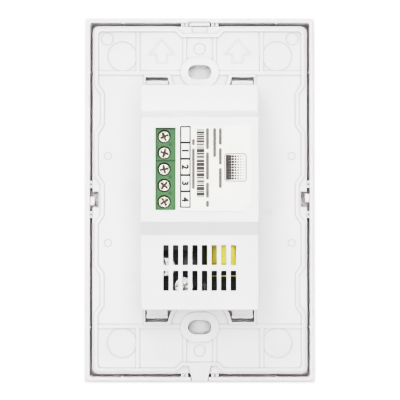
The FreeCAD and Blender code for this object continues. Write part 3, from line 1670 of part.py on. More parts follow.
def make_light_guides():
    guides = []
    rear = touch_front - mm.led_height - mm.led_gap
    for number, key in enumerate(ENDS, start=1):
        place = (0, key * key_z)
        outer = rod("guide_%d_outer" % number, *place, guide_outer_radius, cover_front, rear)
        inner = rod("guide_%d_inner" % number, *place, guide_inner_radius, cover_front, rear)
        guides.append(cut("guide_%d" % number, outer, [inner]))
    return group("light_guides", guides)


def make_led_chips():
    """Four small lamps under each light guide, at the sides and at the top and bottom."""
    chips = []
    y = (touch_front - mm.led_height, touch_front)
    for number, key in enumerate(ENDS, start=1):
        for side in ENDS:
            tag = "%d_%s" % (number, "a" if side > 0 else "b")
            beside_x = span(side * led_circle, mm.led_width)
            chips.append(box("led_side_" + tag, beside_x, y, span(key * key_z, mm.led_length)))
            above_z = span(key * key_z + side * led_circle, mm.led_width)
            chips.append(box("led_end_" + tag, span(0, mm.led_length), y, above_z))
    return group("led_chips", chips)


def make_touch_pads():
    """Soft conductive pads that carry each key from the touch board to the glass."""
    pads = []
    low = glass_rear + mm.pad_gap
    for number, key in enumerate(ENDS, start=1):
        pads.append(rod("touch_pad_%d" % number, 0, key * key_z, mm.pad_radius, low, touch_front))
    return group("touch_pads", pads)


def make_touch_chip():
    return rounded_block(
        "touch_chip",
        span(0, mm.chip_width),
        span(0, mm.chip_length),
        touch_front - mm.chip_height,
        touch_front,
        mm.led_gap,
    )


parts = [
    make_mounting_plate(),
    make_rear_housing(),
    make_rating_label(),
    make_panel_frame(),
    make_glass_panel(),
    make_touch_rings(),
    make_adhesive_tape(),
    make_inner_cover(),
    make_power_board(),
    make_touch_board(),
    make_terminal_block("terminal_block_2way", WAYS[:2]),
    make_terminal_block("terminal_block_3way", WAYS[2:]),
    make_terminal_contacts(),
    make_board_screws(),
    make_relay("relay_1", relay_one_x, relay_one_z),
    make_relay("relay_2", relay_two_x, relay_two_z),
    make_transformer_core(),
    make_transformer_bobbin(),
    make_transformer_winding(),
    make_can("filter_capacitor", filter_x, filter_z, mm.filter_radius, mm.filter_height),
    make_can("output_capacitor", output_x, output_z, mm.output_radius, mm.output_height),
    make_can("standby_capacitor", standby_x, standby_z, mm.standby_radius, mm.standby_height),
    on_board(
        "film_capacitor", film_x, film_z, mm.film_width, mm.film_depth, mm.film_height, mm.film_round
    ),
    make_disc("varistor", varistor_x, varistor_z, mm.varistor_radius, mm.varistor_thickness, "Z"),
    make_can("fuse", fuse_x, fuse_z, mm.fuse_radius, mm.fuse_height),
    make_choke(),
    on_board(
        "bridge_rectifier",
        rectifier_x,
        rectifier_z,
        mm.rectifier_width,
        mm.rectifier_depth,
        mm.rectifier_height,
        mm.relay_round,
    ),
    make_disc("ceramic_capacitor", ceramic_x, ceramic_z, mm.ceramic_radius, mm.ceramic_thickness, "X"),
    make_light_guides(),
    make_led_chips(),
    make_touch_pads(),
    make_touch_chip(),
]
parts += make_radio()
parts += make_header()
for screw_number, way_z in enumerate(WAYS, start=1):
    parts.append(make_terminal_screw(screw_number, way_z))
    parts.append(make_wire_clamp(screw_number, way_z))

doc.recompute()
for item in doc.Objects:
    if "Invalid" in item.State or "Error" in item.State:
        raise RuntimeError("%s failed: %s" % (item.Name, item.State))
for part in parts:
    if part.Shape.isNull() or not part.Shape.isValid():
        raise RuntimeError("%s has no valid shape" % part.Name)

os.makedirs("parts", exist_ok=True)
for part in parts:
    part.Label = part.Name
    part.Shape.exportStep("parts/%s.step" % part.Label)
    print(part.Label, len(part.Shape.Solids), "solid(s)", round(part.Shape.Volume, 2), "mm3")
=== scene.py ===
import math

import bmesh
import bpy
import numpy as np
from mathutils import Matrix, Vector


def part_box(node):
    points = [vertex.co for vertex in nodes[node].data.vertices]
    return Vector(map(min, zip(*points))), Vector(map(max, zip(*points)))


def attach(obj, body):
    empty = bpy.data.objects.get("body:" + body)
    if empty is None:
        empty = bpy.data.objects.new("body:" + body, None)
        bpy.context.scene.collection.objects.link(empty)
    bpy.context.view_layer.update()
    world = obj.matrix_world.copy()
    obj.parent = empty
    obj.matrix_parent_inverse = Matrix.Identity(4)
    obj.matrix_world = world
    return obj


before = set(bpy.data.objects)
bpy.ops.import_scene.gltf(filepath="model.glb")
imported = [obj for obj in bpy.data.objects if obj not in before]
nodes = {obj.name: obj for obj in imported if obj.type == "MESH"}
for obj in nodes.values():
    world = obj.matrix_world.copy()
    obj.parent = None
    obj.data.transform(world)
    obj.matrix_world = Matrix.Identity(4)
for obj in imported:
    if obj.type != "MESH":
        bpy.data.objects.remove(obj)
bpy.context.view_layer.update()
mm = 0.001
print("frame loaded:", len(nodes), "nodes")


# Colour, nodes and the finish of each piece

def linear(hexColour):
    # sRGB hex to linear: low values over 12.92, the others by the 2.4 power
    channels = [int(hexColour[i:i + 2], 16) / 255 for i in (1, 3, 5)]
    return tuple(c / 12.92 if c < 0.04045 else ((c + 0.055) / 1.055) ** 2.4 for c in channels) + (1,)


def wire(tree, node, links):
    # feeds inputs from a socket, or from the first output of a node
    for key, source in links.items():
        tree.links.new(getattr(source, "outputs", [source])[0], node.inputs[key])


def addNode(tree, kind, settings=None, links=None):
    # one node with its settings and links; stops are a ramp's places and colours
    node = tree.nodes.new("ShaderNode" + kind)
    for key, value in (settings or {}).items():
        if key == "stops":
            for stop, (position, colour) in zip(node.color_ramp.elements, value):
                stop.position = position
                stop.color = linear(colour)
        elif hasattr(node, str(key)):
            setattr(node, key, value)
        else:
            node.inputs[key].default_value = value
    wire(tree, node, links or {})
    return node


def newFinish(name, colour, roughness, **sockets):
    # a material with its constants on the shader's own sockets, and the object's own coordinates
    material = bpy.data.materials.new(name)
    material.use_nodes = True
    material.diffuse_color = linear(colour)
    tree = material.node_tree
    shader = tree.nodes["Principled BSDF"]
    shader.inputs["Base Color"].default_value = linear(colour)
    shader.inputs["Roughness"].default_value = roughness
    for key, value in sockets.items():
        shader.inputs[key.replace("_", " ")].default_value = value
    return material, tree, shader, addNode(tree, "TexCoord").outputs["Object"]


moulding = {
    "grain": 0.35,  # mm between grains; spark erosion leaves about 0.05, drawn coarse enough to show
    "grainDepth": 0.004,
    "flow": 14,  # mm across the faint clouds of the melt
    "edge": 0.07,  # mm, the radius that a mould's edges have
    "milk": 0.5,  # mm that light runs in filled white plastic
    # painted shade in corners, then in hollows: its reach in mm, how open a fully shaded and an unshaded
    # place are, and its tone
    "paintedShade": [(0.5, 0.4, 0.9, "#D3D0CE"), (4, 0.25, 0.6, "#BEBAB8")],
}


def mouldedPlastic(name, colour, shade, roughness, ior=1.53, milky=0):
    # thermoplastic from a spark-eroded mould: even satin, faint flow clouds, eased edges, and painted shade
    # that darkens its corners and hollows; white grades scatter light inside, which softens their relief
    material, tree, shader, place = newFinish(
        name, colour, roughness, IOR=ior, Subsurface_Weight=milky, Subsurface_Radius=(1, 1, 1),
        Subsurface_Scale=moulding["milk"] * mm,
    )
    clouds = addNode(
        tree, "TexNoise", {"Scale": 1 / (moulding["flow"] * mm), "Detail": 3}, {"Vector": place}
    )
    tone = addNode(tree, "ValToRGB", {"stops": [(0.3, colour), (0.7, shade)]}, {"Fac": clouds})
    # painted shade: ambient occlusion darkens the base colour in corners and hollows
    for reach, closed, clean, paintedShadeTone in moulding["paintedShade"]:
        nearby = addNode(
            tree, "AmbientOcclusion", {"samples": 6, "only_local": True, "Distance": reach * mm}
        )
        paintedShade = addNode(
            tree, "ValToRGB", {"stops": [(closed, paintedShadeTone), (clean, "#FFFFFF")]},
            {"Fac": nearby.outputs["AO"]},
        )
        tone = addNode(
            tree, "Mix", {"data_type": "RGBA", "blend_type": "MULTIPLY", 0: 1}, {6: tone, 7: paintedShade}
        ).outputs[2]
    grain = addNode(
        tree, "TexNoise", {"Scale": 1 / (moulding["grain"] * mm), "Detail": 3}, {"Vector": place}
    )
    gloss = addNode(
        tree, "MapRange",
        {"From Min": 0.3, "From Max": 0.7, "To Min": roughness - 0.05, "To Max": roughness + 0.07},
        {"Value": grain},
    )
    eased = addNode(tree, "Bevel", {"samples": 6, "Radius": moulding["edge"] * mm})
    bump = addNode(
        tree, "Bump", {"Distance": moulding["grainDepth"] * mm}, {"Height": grain, "Normal": eased}
    )
    wire(tree, shader, {"Base Color": tone, "Roughness": gloss, "Normal": bump})
    return material


# white ABS: soft satin, on the frame from a finer mould and a little glossier
whiteAbs = mouldedPlastic("whiteAbs", "#F7F5F6", "#F3F1F2", 0.42, milky=1)
frameAbs = mouldedPlastic("frameAbs", "#F9F7F8", "#F5F3F4", 0.3, milky=1)
coverAbs = mouldedPlastic("coverAbs", "#F1EFEF", "#ECEAEA", 0.42, milky=1)
# polyamide of terminal blocks: a waxy mid green, and a darker copy on the ejector rings, painted shade for
# their relief
greenPolyamide = mouldedPlastic("greenPolyamide", "#61825E", "#5B7B59", 0.4)
ringShadePolyamide = mouldedPlastic("ringShadePolyamide", "#486346", "#425B41", 0.5)
# filled PBT and phenolic resin: near black, with a slight shine
blackPbt = mouldedPlastic("blackPbt", "#121315", "#0E0F11", 0.35)
bobbinResin = mouldedPlastic("bobbinResin", "#211A16", "#1A1512", 0.45, 1.6)
# polyester case, filled with resin: plain yellow, rather glossy
yellowCase = mouldedPlastic("yellowCase", "#E3BE2C", "#D9B324", 0.3)


glass = {
    "bevel": 0.52,  # mm, the ground bevel and a little more
    "paintedEdgeGlow": 0.35,  # strength of the painted glow on the cut edge
    "waves": 25,  # mm from wave to wave in float glass
}


def backPaintedGlass():
    # float glass with white paint fired on behind: flawless gloss, and painted light on the cut edge, which
    # glows by emission and is a little paler; the edge is where x or z is within a bevel of the pane's end
    material, tree, shader, place = newFinish("whiteGlass", "#F8F9F9", 0.06, IOR=1.52, Coat_Weight=1.0)
    shader.inputs["Coat IOR"].default_value = 1.52
    shader.inputs["Coat Roughness"].default_value = 0.01
    low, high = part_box("glass_panel")
    bevel = glass["bevel"] * mm
    axes = addNode(tree, "SeparateXYZ", {}, {0: place})
    x = addNode(tree, "Math", {"operation": "ABSOLUTE"}, {0: axes.outputs["X"]})
    z = addNode(tree, "Math", {"operation": "ABSOLUTE"}, {0: axes.outputs["Z"]})
    side = addNode(tree, "Math", {"operation": "GREATER_THAN", 1: high.x - bevel}, {0: x})
    end = addNode(tree, "Math", {"operation": "GREATER_THAN", 1: high.z - bevel}, {0: z})
    edge = addNode(tree, "Math", {"operation": "MAXIMUM"}, {0: side, 1: end})
    # painted light: the cut edge is made paler and glows by emission
    tone = addNode(tree, "ValToRGB", {"stops": [(0, "#F8F9F9"), (1, "#FAFCFB")]}, {"Fac": edge})
    edgeGlowColour = addNode(tree, "ValToRGB", {"stops": [(0, "#000000"), (1, "#FFFFFF")]}, {"Fac": edge})
    shader.inputs["Emission Strength"].default_value = glass["paintedEdgeGlow"]
    waves = addNode(tree, "TexNoise", {"Scale": 1 / (glass["waves"] * mm)}, {"Vector": place})
    bump = addNode(tree, "Bump", {"Distance": 0.01 * mm}, {"Height": waves})
    wire(tree, shader, {"Base Color": tone, "Emission Color": edgeGlowColour, "Normal": bump})
    return material


def flecked(name, colour, shade, roughness, size, depth, detail=3, stretch=(1, 1, 1), edge=0, **sockets):
    # a surface whose grain of a size in mm shows in its tone and its relief; stretch pulls it along an axis
    material, tree, shader, place = newFinish(name, colour, roughness, **sockets)
    pulled = addNode(tree, "Mapping", {"Scale": [1 / s for s in stretch]}, {"Vector": place})
    grain = addNode(tree, "TexNoise", {"Scale": 1 / (size * mm), "Detail": detail}, {"Vector": pulled})
    tone = addNode(tree, "ValToRGB", {"stops": [(0.3, colour), (0.7, shade)]}, {"Fac": grain})
    gloss = addNode(
        tree, "MapRange",
        {"From Min": 0.3, "From Max": 0.7, "To Min": roughness * 0.8, "To Max": roughness * 1.3},
        {"Value": grain},
    )
    bump = addNode(tree, "Bump", {"Distance": depth * mm}, {"Height": grain})
    if edge:
        wire(tree, bump, {"Normal": addNode(tree, "Bevel", {"samples": 6, "Radius": edge * mm})})
    wire(tree, shader, {"Base Color": tone, "Roughness": gloss, "Normal": bump})
    return material


# ceramic ink screened on the glass and fired: matt, slightly grainy
ceramicPrint = flecked("ceramicPrint", "#A9B1B4", "#B5BDBF", 0.6, 0.25, 0.006, 4)
# white polyester film with a matt top coat: faintly warm, a slight orange peel
labelFilm = flecked("labelFilm", "#F8F7F3", "#F4F2EC", 0.38, 6, 0.004, 3, IOR=1.5)
# pressed and fired powder: charcoal with pin holes, ground faces that shine a little
sinteredFerrite = flecked("sinteredFerrite", "#222224", "#37373A", 0.5, 0.18, 0.02, 5, edge=0.15)
# chip bodies, fired white: fine and faintly warm
firedCeramic = flecked("firedCeramic", "#E4DFCF", "#F0EDE2", 0.35, 0.2, 0.005, 4, edge=0.05)
# powder dipped and baked: a thick glossy skin with an orange peel
blueEpoxy = flecked("blueEpoxy", "#1F4D96", "#2A5BA6", 0.3, 0.7, 0.03, 2, edge=0.3, Coat_Weight=0.5)
orangeEpoxy = flecked("orangeEpoxy", "#8F5A32", "#7F4E2B", 0.3, 0.7, 0.03, 2, edge=0.3, Coat_Weight=0.5)
# dark film shrunk on a can: glossy, with faint lengthwise wrinkles
shrunkSleeve = flecked(
    "shrunkSleeve", "#4B4B4E", "#5A5A5E", 0.35, 0.6, 0.03, 3, (1, 6, 1), edge=0.15, Coat_Weight=0.2
)
# clear acrylic, moulded and lightly frosted: it takes the colour of what is behind
clearGuide = flecked(
    "clearGuide", "#F4F8F8", "#EDF3F3", 0.2, 0.3, 0.004, 3, IOR=1.49, Transmission_Weight=0.9
)
# thin metal, tinned or drawn: soft streaks along the way it was worked
tinShield = flecked("tinShield", "#C9C9C6", "#B3B3AF", 0.3, 0.4, 0.01, 4, (6, 1, 1), 0.05, Metallic=1.0)
tinnedBrass = flecked("tinnedBrass", "#D4CFBF", "#B9B197", 0.3, 0.3, 0.01, 4, (8, 1, 1), 0.05, Metallic=1.0)
postNickel = flecked("postNickel", "#CBC9C1", "#AFADA4", 0.3, 0.3, 0.01, 4, (1, 1, 3), 0.05, Metallic=1.0)
# aluminium drawn over a punch, then pinched and scored: bright with soft crinkles
drawnCan = flecked("drawnCan", "#F6F5F2", "#E2E1DD", 0.25, 0.9, 0.3, 3, Metallic=0.7)
# solder on a joint, bright and round: near white and hardly metallic, a painted highlight for the glints of
# wet solder
glintSolder = flecked("glintSolder", "#FFFFFF", "#F0F0EC", 0.3, 0.4, 0.01, 3, Metallic=0.1)


def cellFoam(name, colour, shade, cell):
    # foam cut through its open cells: soft pits and no gloss
    material, tree, shader, place = newFinish(name, colour, 0.9)
    cells = addNode(tree, "TexVoronoi", {"Scale": 1 / (cell * mm)}, {"Vector": place})
    tone = addNode(tree, "ValToRGB", {"stops": [(0, shade), (1, colour)]}, {"Fac": cells})
    bump = addNode(tree, "Bump", {"Distance": 0.1 * mm}, {"Height": cells})
    wire(tree, shader, {"Base Color": tone, "Normal": bump})
    return material


board = {
    "track": 4,  # mm from track to track
    "weave": 6,  # mm between the weave's bands; real ones are nearer 0.5
}


def circuitBoard():
    # glass epoxy under green solder mask: tracks stand up lighter, cut edges show the tan core
    material, tree, shader, place = newFinish("circuitBoard", "#0D2A1E", 0.3, IOR=1.5)
    axes = addNode(tree, "SeparateXYZ", {}, {0: place})
    flat = addNode(tree, "CombineXYZ", {}, {0: axes.outputs["X"], 1: axes.outputs["Z"]})
    lines = addNode(
        tree, "TexBrick",
        {"Scale": 1 / (board["track"] * mm), "Mortar Size": 0.07, "Mortar Smooth": 0.2, "offset": 0.37,
         "Color1": (0, 0, 0, 1), "Color2": (0, 0, 0, 1), "Mortar": (1, 1, 1, 1)},
        {"Vector": flat},
    )
    weave = addNode(
        tree, "TexWave", {"Scale": 1 / (board["weave"] * mm), "Distortion": 2}, {"Vector": flat}
    )
    both = addNode(tree, "Math", {"operation": "MULTIPLY_ADD", 1: 0.12}, {0: weave, 2: lines})
    mask = addNode(tree, "ValToRGB", {"stops": [(0, "#0A2018"), (1, "#12382A")]}, {"Fac": both})
    normal = addNode(tree, "SeparateXYZ", {}, {0: addNode(tree, "NewGeometry").outputs["Normal"]})
    facing = addNode(tree, "Math", {"operation": "ABSOLUTE"}, {0: normal.outputs["Y"]})
    cut = addNode(tree, "Math", {"operation": "LESS_THAN", 1: 0.5}, {0: facing})
    tone = addNode(tree, "Mix", {"data_type": "RGBA", 7: linear("#A89455")}, {0: cut, 6: mask})
    bump = addNode(tree, "Bump", {"Distance": 0.035 * mm}, {"Height": lines})
    wire(tree, shader, {"Base Color": tone.outputs[2], "Normal": bump})
    return material


screwHead = {
    "pitch": 5.08,  # mm from screw to screw
    "centre": (11.07, 8.67),  # mm, x and z of the middle screw
    "toolRing": 0.16,  # mm between turning marks; real ones are nearer 0.05
    "recess": (21.75, 22.65),  # mm, from the floor of the recess to the face, over which the painted shade fades
    "worn": (0.7, 1.7),  # mm round the recess where drivers have slipped
    "scuff": 0.5,  # mm across a scuff
    "stain": 1.1,  # mm across a stain
    "edge": 0.1,
}


def turnedNickel():
    # nickel over turned steel: fine tool rings round each head, driver scuffs, flux stains, and painted
    # shade that darkens the recess towards its floor
    material, tree, shader, place = newFinish("turnedNickel", "#EDEAE2", 0.22, Metallic=1.0)
    axes = addNode(tree, "SeparateXYZ", {}, {0: place})
    half = screwHead["pitch"] / 2 * mm
    x = addNode(
        tree, "Math", {"operation": "SUBTRACT", 1: screwHead["centre"][0] * mm}, {0: axes.outputs["X"]}
    )
    along = addNode(
        tree, "Math", {"operation": "SUBTRACT", 1: screwHead["centre"][1] * mm}, {0: axes.outputs["Z"]}
    )
    z = addNode(tree, "Math", {"operation": "WRAP", 1: half, 2: -half}, {0: along})
    flat = addNode(tree, "CombineXYZ", {}, {0: x, 1: z})
    radius = addNode(tree, "VectorMath", {"operation": "LENGTH"}, {0: flat}).outputs["Value"]
    turns = addNode(
        tree, "Math", {"operation": "MULTIPLY", 1: 2 * math.pi / (screwHead["toolRing"] * mm)}, {0: radius}
    )
    rings = addNode(tree, "Math", {"operation": "SINE"}, {0: turns})
    pulled = addNode(tree, "Mapping", {"Scale": (1, 1, 0.4)}, {"Vector": place})
    scuffs = addNode(
        tree, "TexNoise", {"Scale": 1 / (screwHead["scuff"] * mm), "Detail": 6}, {"Vector": pulled}
    )
    stain = addNode(
        tree, "TexNoise", {"Scale": 1 / (screwHead["stain"] * mm), "Detail": 4}, {"Vector": place}
    )
    stained = addNode(
        tree, "MapRange", {"From Min": 0.5, "From Max": 0.68, "To Max": 0.55}, {"Value": stain}
    )
    floor, face = screwHead["recess"]
    # painted shade: darker with depth in the recess
    recessShade = addNode(
        tree, "MapRange", {"From Min": floor * mm, "From Max": face * mm, "To Min": 1, "To Max": 0},
        {"Value": axes.outputs["Y"]},
    )
    near, far = screwHead["worn"]
    slipped = addNode(
        tree, "MapRange", {"From Min": near * mm, "From Max": far * mm, "To Min": 0.75, "To Max": 0},
        {"Value": radius},
    )
    marked = addNode(tree, "MapRange", {"From Min": 0.42, "From Max": 0.58}, {"Value": scuffs})
    worn = addNode(tree, "Math", {"operation": "MULTIPLY"}, {0: slipped, 1: marked})
    used = addNode(tree, "Math", {"operation": "MAXIMUM"}, {0: stained, 1: worn})
    dark = addNode(tree, "Math", {"operation": "MAXIMUM"}, {0: used, 1: recessShade})
    tone = addNode(tree, "ValToRGB", {"stops": [(0, "#F1EFE8"), (1, "#6F6654")]}, {"Fac": dark})
    gloss = addNode(
        tree, "MapRange", {"From Min": 0.3, "From Max": 0.7, "To Min": 0.16, "To Max": 0.45},
        {"Value": scuffs},
    )
    height = addNode(tree, "Math", {"operation": "MULTIPLY_ADD", 1: 0.25}, {0: rings, 2: scuffs})
    eased = addNode(tree, "Bevel", {"samples": 6, "Radius": screwHead["edge"] * mm})
    bump = addNode(tree, "Bump", {"Distance": 0.02 * mm}, {"Height": height, "Normal": eased})
    wire(tree, shader, {"Base Color": tone, "Roughness": gloss, "Normal": bump})
    return material


winding = {
    "ribs": 2.2,  # mm between ribs; the wires are nearer 0.3, drawn coarse enough to show
    "shadedSide": (-5.8, -6.6),  # mm along X, over which the painted shade on the winding's +X side fades out
    "edge": 0.2,
}


def windingTape():
    # yellow polyester tape over layers of fine wire, which show through as ribs; its +X side is darker,
    # painted shade
    material, tree, shader, place = newFinish("windingTape", "#D6CC2E", 0.3, IOR=1.55, Coat_Weight=0.3)
    ribs = 1 / (winding["ribs"] * mm)
    turns = addNode(
        tree, "TexWave", {"bands_direction": "Z", "Scale": ribs, "Distortion": 1.5, "Detail": 1},
        {"Vector": place},
    )
    clouds = addNode(tree, "TexNoise", {"Scale": ribs, "Detail": 3}, {"Vector": place})
    axes = addNode(tree, "SeparateXYZ", {}, {0: place})
    # painted shade: the tape's tone is darker towards +X
    shadedX, unshadedX = winding["shadedSide"]
    sideShade = addNode(
        tree, "MapRange", {"From Min": shadedX * mm, "From Max": unshadedX * mm, "To Max": 0.7},
        {"Value": axes.outputs["X"]},
    )
    pale = addNode(tree, "Math", {"operation": "MULTIPLY_ADD", 1: 0.3}, {0: clouds, 2: sideShade})
    tone = addNode(tree, "ValToRGB", {"stops": [(0.1, "#B9B12E"), (0.9, "#F0E582")]}, {"Fac": pale})
    height = addNode(tree, "Math", {"operation": "MULTIPLY_ADD", 1: 0.8}, {0: clouds, 2: turns})
    eased = addNode(tree, "Bevel", {"samples": 6, "Radius": winding["edge"] * mm})
    bump = addNode(tree, "Bump", {"Distance": 0.06 * mm}, {"Height": height, "Normal": eased})
    wire(tree, shader, {"Base Color": tone, "Normal": bump})
    return material


finishes = {
    "glass_panel": backPaintedGlass(),
    "touch_rings": ceramicPrint,
    "adhesive_tape": cellFoam("whiteFoam", "#E6E6E0", "#D2D2CC", 0.4),
    "touch_pads": cellFoam("carbonFoam", "#26272A", "#121315", 0.35),
    "panel_frame": frameAbs,
    "rating_label": labelFilm,
    "transformer_core": sinteredFerrite,
    "choke": sinteredFerrite,
    "transformer_bobbin": bobbinResin,
    "transformer_winding": windingTape(),
    "film_capacitor": yellowCase,
    "varistor": blueEpoxy,
    "ceramic_capacitor": orangeEpoxy,
    "radio_shield": tinShield,
    "light_guides": clearGuide,
    "board_screws": postNickel,
    "inner_cover": coverAbs,
}
blackPieces = "relay_1 relay_2 fuse bridge_rectifier pin_header header_socket touch_chip"
sharedFinishes = {
    "mounting_plate rear_housing": whiteAbs,
    "terminal_block_2way terminal_block_3way": greenPolyamide,
    blackPieces: blackPbt,
    "filter_capacitor output_capacitor standby_capacitor": shrunkSleeve,
    "led_chips chip_antenna": firedCeramic,
    "power_board touch_board radio_board": circuitBoard(),
    "terminal_contacts header_pins": tinnedBrass,
    " ".join("wire_clamp_%d" % n for n in range(1, 6)): tinnedBrass,
    " ".join("terminal_screw_%d" % n for n in range(1, 6)): turnedNickel(),
}
finishes.update({name: finish for names, finish in sharedFinishes.items() for name in names.split()})
for name, node in nodes.items():
    if not node.material_slots:
        node.data.materials.append(None)
    for slot in node.material_slots:
        slot.material = finishes[name]
print("materials:", len(bpy.data.materials))


# Surfaces from arrays

def gridFaces(rows, columns, closed):
    # quads between neighbours on a grid of points; closed joins the last column to the first
    row = np.arange(rows - 1)[:, None]
    column = np.arange(columns if closed else columns - 1)[None]
    after = (column + 1) % columns
    corners = [row * columns + column, row * columns + after]
    corners += [(row + 1) * columns + after, (row + 1) * columns + column]
    return np.stack([np.broadcast_to(c, (rows - 1, column.size)) for c in corners], -1).reshape(-1, 4)


def addPiece(name, points, faces, material, smooth=True):
    # a mesh in mm that rides on the base, with doubles within 0.0001 mm merged and faces turned outwards
    mesh = bpy.data.meshes.new(name)
    points = np.asarray(points).reshape(-1, 3) * mm
    mesh.from_pydata(points.tolist(), [], [list(map(int, f)) for f in faces])
    work = bmesh.new()
    work.from_mesh(mesh)
    bmesh.ops.remove_doubles(work, verts=work.verts, dist=1e-7)
    bmesh.ops.dissolve_degenerate(work, edges=work.edges, dist=1e-7)
    bmesh.ops.recalc_face_normals(work, faces=work.faces)
    work.to_mesh(mesh)
    work.free()
    mesh.polygons.foreach_set("use_smooth", [smooth] * len(mesh.polygons))
    mesh.materials.append(material)
    piece = bpy.data.objects.new(name, mesh)
    bpy.context.scene.collection.objects.link(piece)
    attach(piece, "base")


def turned(profile, centres, count):
    # a profile of radius and level turned about Y at each centre: x + r cos t, level, z + r sin t
    radius, level = np.array(profile, float).T
    angle = np.linspace(0, 2 * np.pi, count, endpoint=False)
    x = radius[:, None] * np.cos(angle)
    z = radius[:, None] * np.sin(angle)
    ring = np.stack([x, np.broadcast_to(level[:, None], x.shape), z], -1)
    centres = np.array(centres, float)
    place = np.stack([centres[:, 0], np.zeros(len(centres)), centres[:, 1]], -1)
    points = ring[None] + place[:, None, None]
    quads = gridFaces(len(radius), count, True)
    faces = quads[None] + (np.arange(len(centres)) * ring.shape[0] * count)[:, None, None]
    return points.reshape(-1, 3), faces.reshape(-1, 4)


def roundedLoops(centres, halves, radius, steps=3):
    # outlines of rectangles with quarter-round corners: centre + (half - radius) sign + radius (cos, sin);
    # the radius stays under the half, so that no two points meet
    quarter = np.linspace(0, np.pi / 2, steps + 1)
    turn = (np.arange(4)[:, None] * np.pi / 2 + quarter).reshape(-1)
    sign = np.array([[1, 1], [-1, 1], [-1, -1], [1, -1]]).repeat(steps + 1, 0)
    halves = np.asarray(halves, float)
    radius = np.minimum(radius, halves.min(-1) * 0.98)[:, None, None]
    corner = (halves[:, None] - radius) * sign
    arc = radius * np.stack([np.cos(turn), np.sin(turn)], -1)
    return np.asarray(centres, float)[:, None] + corner + arc


def slabs(loops, low, high):
    # flat closed slabs between two levels, one for each outline of x and z
    count, size = loops.shape[:2]
    sides = np.stack([np.insert(loops, 1, level, axis=2) for level in (low, high)], 1)
    quads = gridFaces(2, size, True)
    step = (np.arange(count) * 2 * size)[:, None, None]
    faces = [tuple(f) for f in (quads[None] + step).reshape(-1, 4)]
    bottom = np.arange(size)[::-1] + step[:, 0]
    return sides.reshape(-1, 3), faces + [tuple(f) for f in bottom] + [tuple(f[::-1] + size) for f in bottom]


def frames(loops, width, low, high):
    # a flat line inside each closed outline: the outline, and it less the width along its left normal,
    # which is square to the way from the point before to the point after
    count, size = loops.shape[:2]
    ahead = np.roll(loops, -1, 1) - np.roll(loops, 1, 1)
    ahead /= np.linalg.norm(ahead, axis=2, keepdims=True)
    inner = loops + width * np.stack([-ahead[..., 1], ahead[..., 0]], -1)
    corners = ((loops, low), (loops, high), (inner, high), (inner, low), (loops, low))
    points = np.stack([np.insert(loop, 1, level, axis=2) for loop, level in corners], 1)
    quads = gridFaces(5, size, True)
    faces = quads[None] + (np.arange(count) * 5 * size)[:, None, None]
    return points.reshape(-1, 3), faces.reshape(-1, 4)


# The label's print: plain numbers, bars and squares

label = {  # mm
    "ink": 0.02,  # how far the print stands up
    "boxX": (2.83, 6.08),
    "boxZ": (21.80, 16.77, 11.74, 6.71, 1.68, -3.31),
    "boxLine": 0.34,
    "boxCorner": 0.2,
    "digits": "1234",
    "digitHeight": 2.1,
    "boldness": 0.042,  # added round each digit's strokes, in the font's own unit
    "barX": (-1.38, 0.91),
    "barZ": (-0.37, 20.9),
    "module": 0.17,
    "barWidths": (1, 2, 2, 3, 4, 6),  # in modules
    "gapWidths": (1, 1, 1, 2),
    "barCorner": 0.02,
    "bars": 80,  # more than the pattern's length takes
    "seed": 11,
    # columns of long bars: low x, high x, high z, low z, share of each bar, with gaps of one share
    "columns": [
        (1.28, 2.64, 17.87, 2.41, (2, 13)),
        (-3.14, -1.65, 21.27, -3.15, (7, 9, 5, 2)),
        (-5.35, -3.86, 21.27, 12.30, (7,)),
        (-7.10, -5.64, 21.27, 2.72, (5, 5, 6)),
    ],
    "longBar": 0.6,  # of the column's width
    "field": (-14.49, -7.62, 4.73, 13.45),  # low x, high x, low z, high z
    "fieldLine": 0.26,
    "fieldCorner": 0.9,
    "fieldMargin": 0.95,  # from the frame's outline to the centres of the outer squares
    "fieldGrid": (7, 9),
    "fieldSquare": (0.47, 0.12),  # half a square, from the largest to the smallest
    "squareCorner": 0.3,  # of half a square
}
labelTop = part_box("rating_label")[1].y / mm
inkLevels = (labelTop - label["ink"], labelTop + label["ink"])
# thermal transfer ink: slightly glossier than the film, thin where the ribbon slipped
blackInk = flecked("blackInk", "#1B1918", "#2B2827", 0.3, 0.5, 0.002)
greyInk = flecked("greyInk", "#716D69", "#807C78", 0.3, 0.5, 0.002)
warmInk = flecked("warmInk", "#4B4542", "#5A534F", 0.3, 0.5, 0.002)


def printBoxes():
    # a box between each two neighbouring edges; what comes back is the centres of those for a digit
    edges = np.array(label["boxZ"])
    low, high = label["boxX"]
    count = len(edges) - 1
    centres = np.stack([np.full(count, (low + high) / 2), (edges[1:] + edges[:-1]) / 2], -1)
    tall = (edges[:-1] - edges[1:]) / 2 + label["boxLine"] / 4
    halves = np.stack([np.full(count, (high - low) / 2), tall], -1)
    loops = roundedLoops(centres, halves, np.full(count, label["boxCorner"]), 4)
    points, faces = frames(loops, label["boxLine"], *inkLevels)
    addPiece("label_boxes", points, faces, blackInk, False)
    return centres[1:]


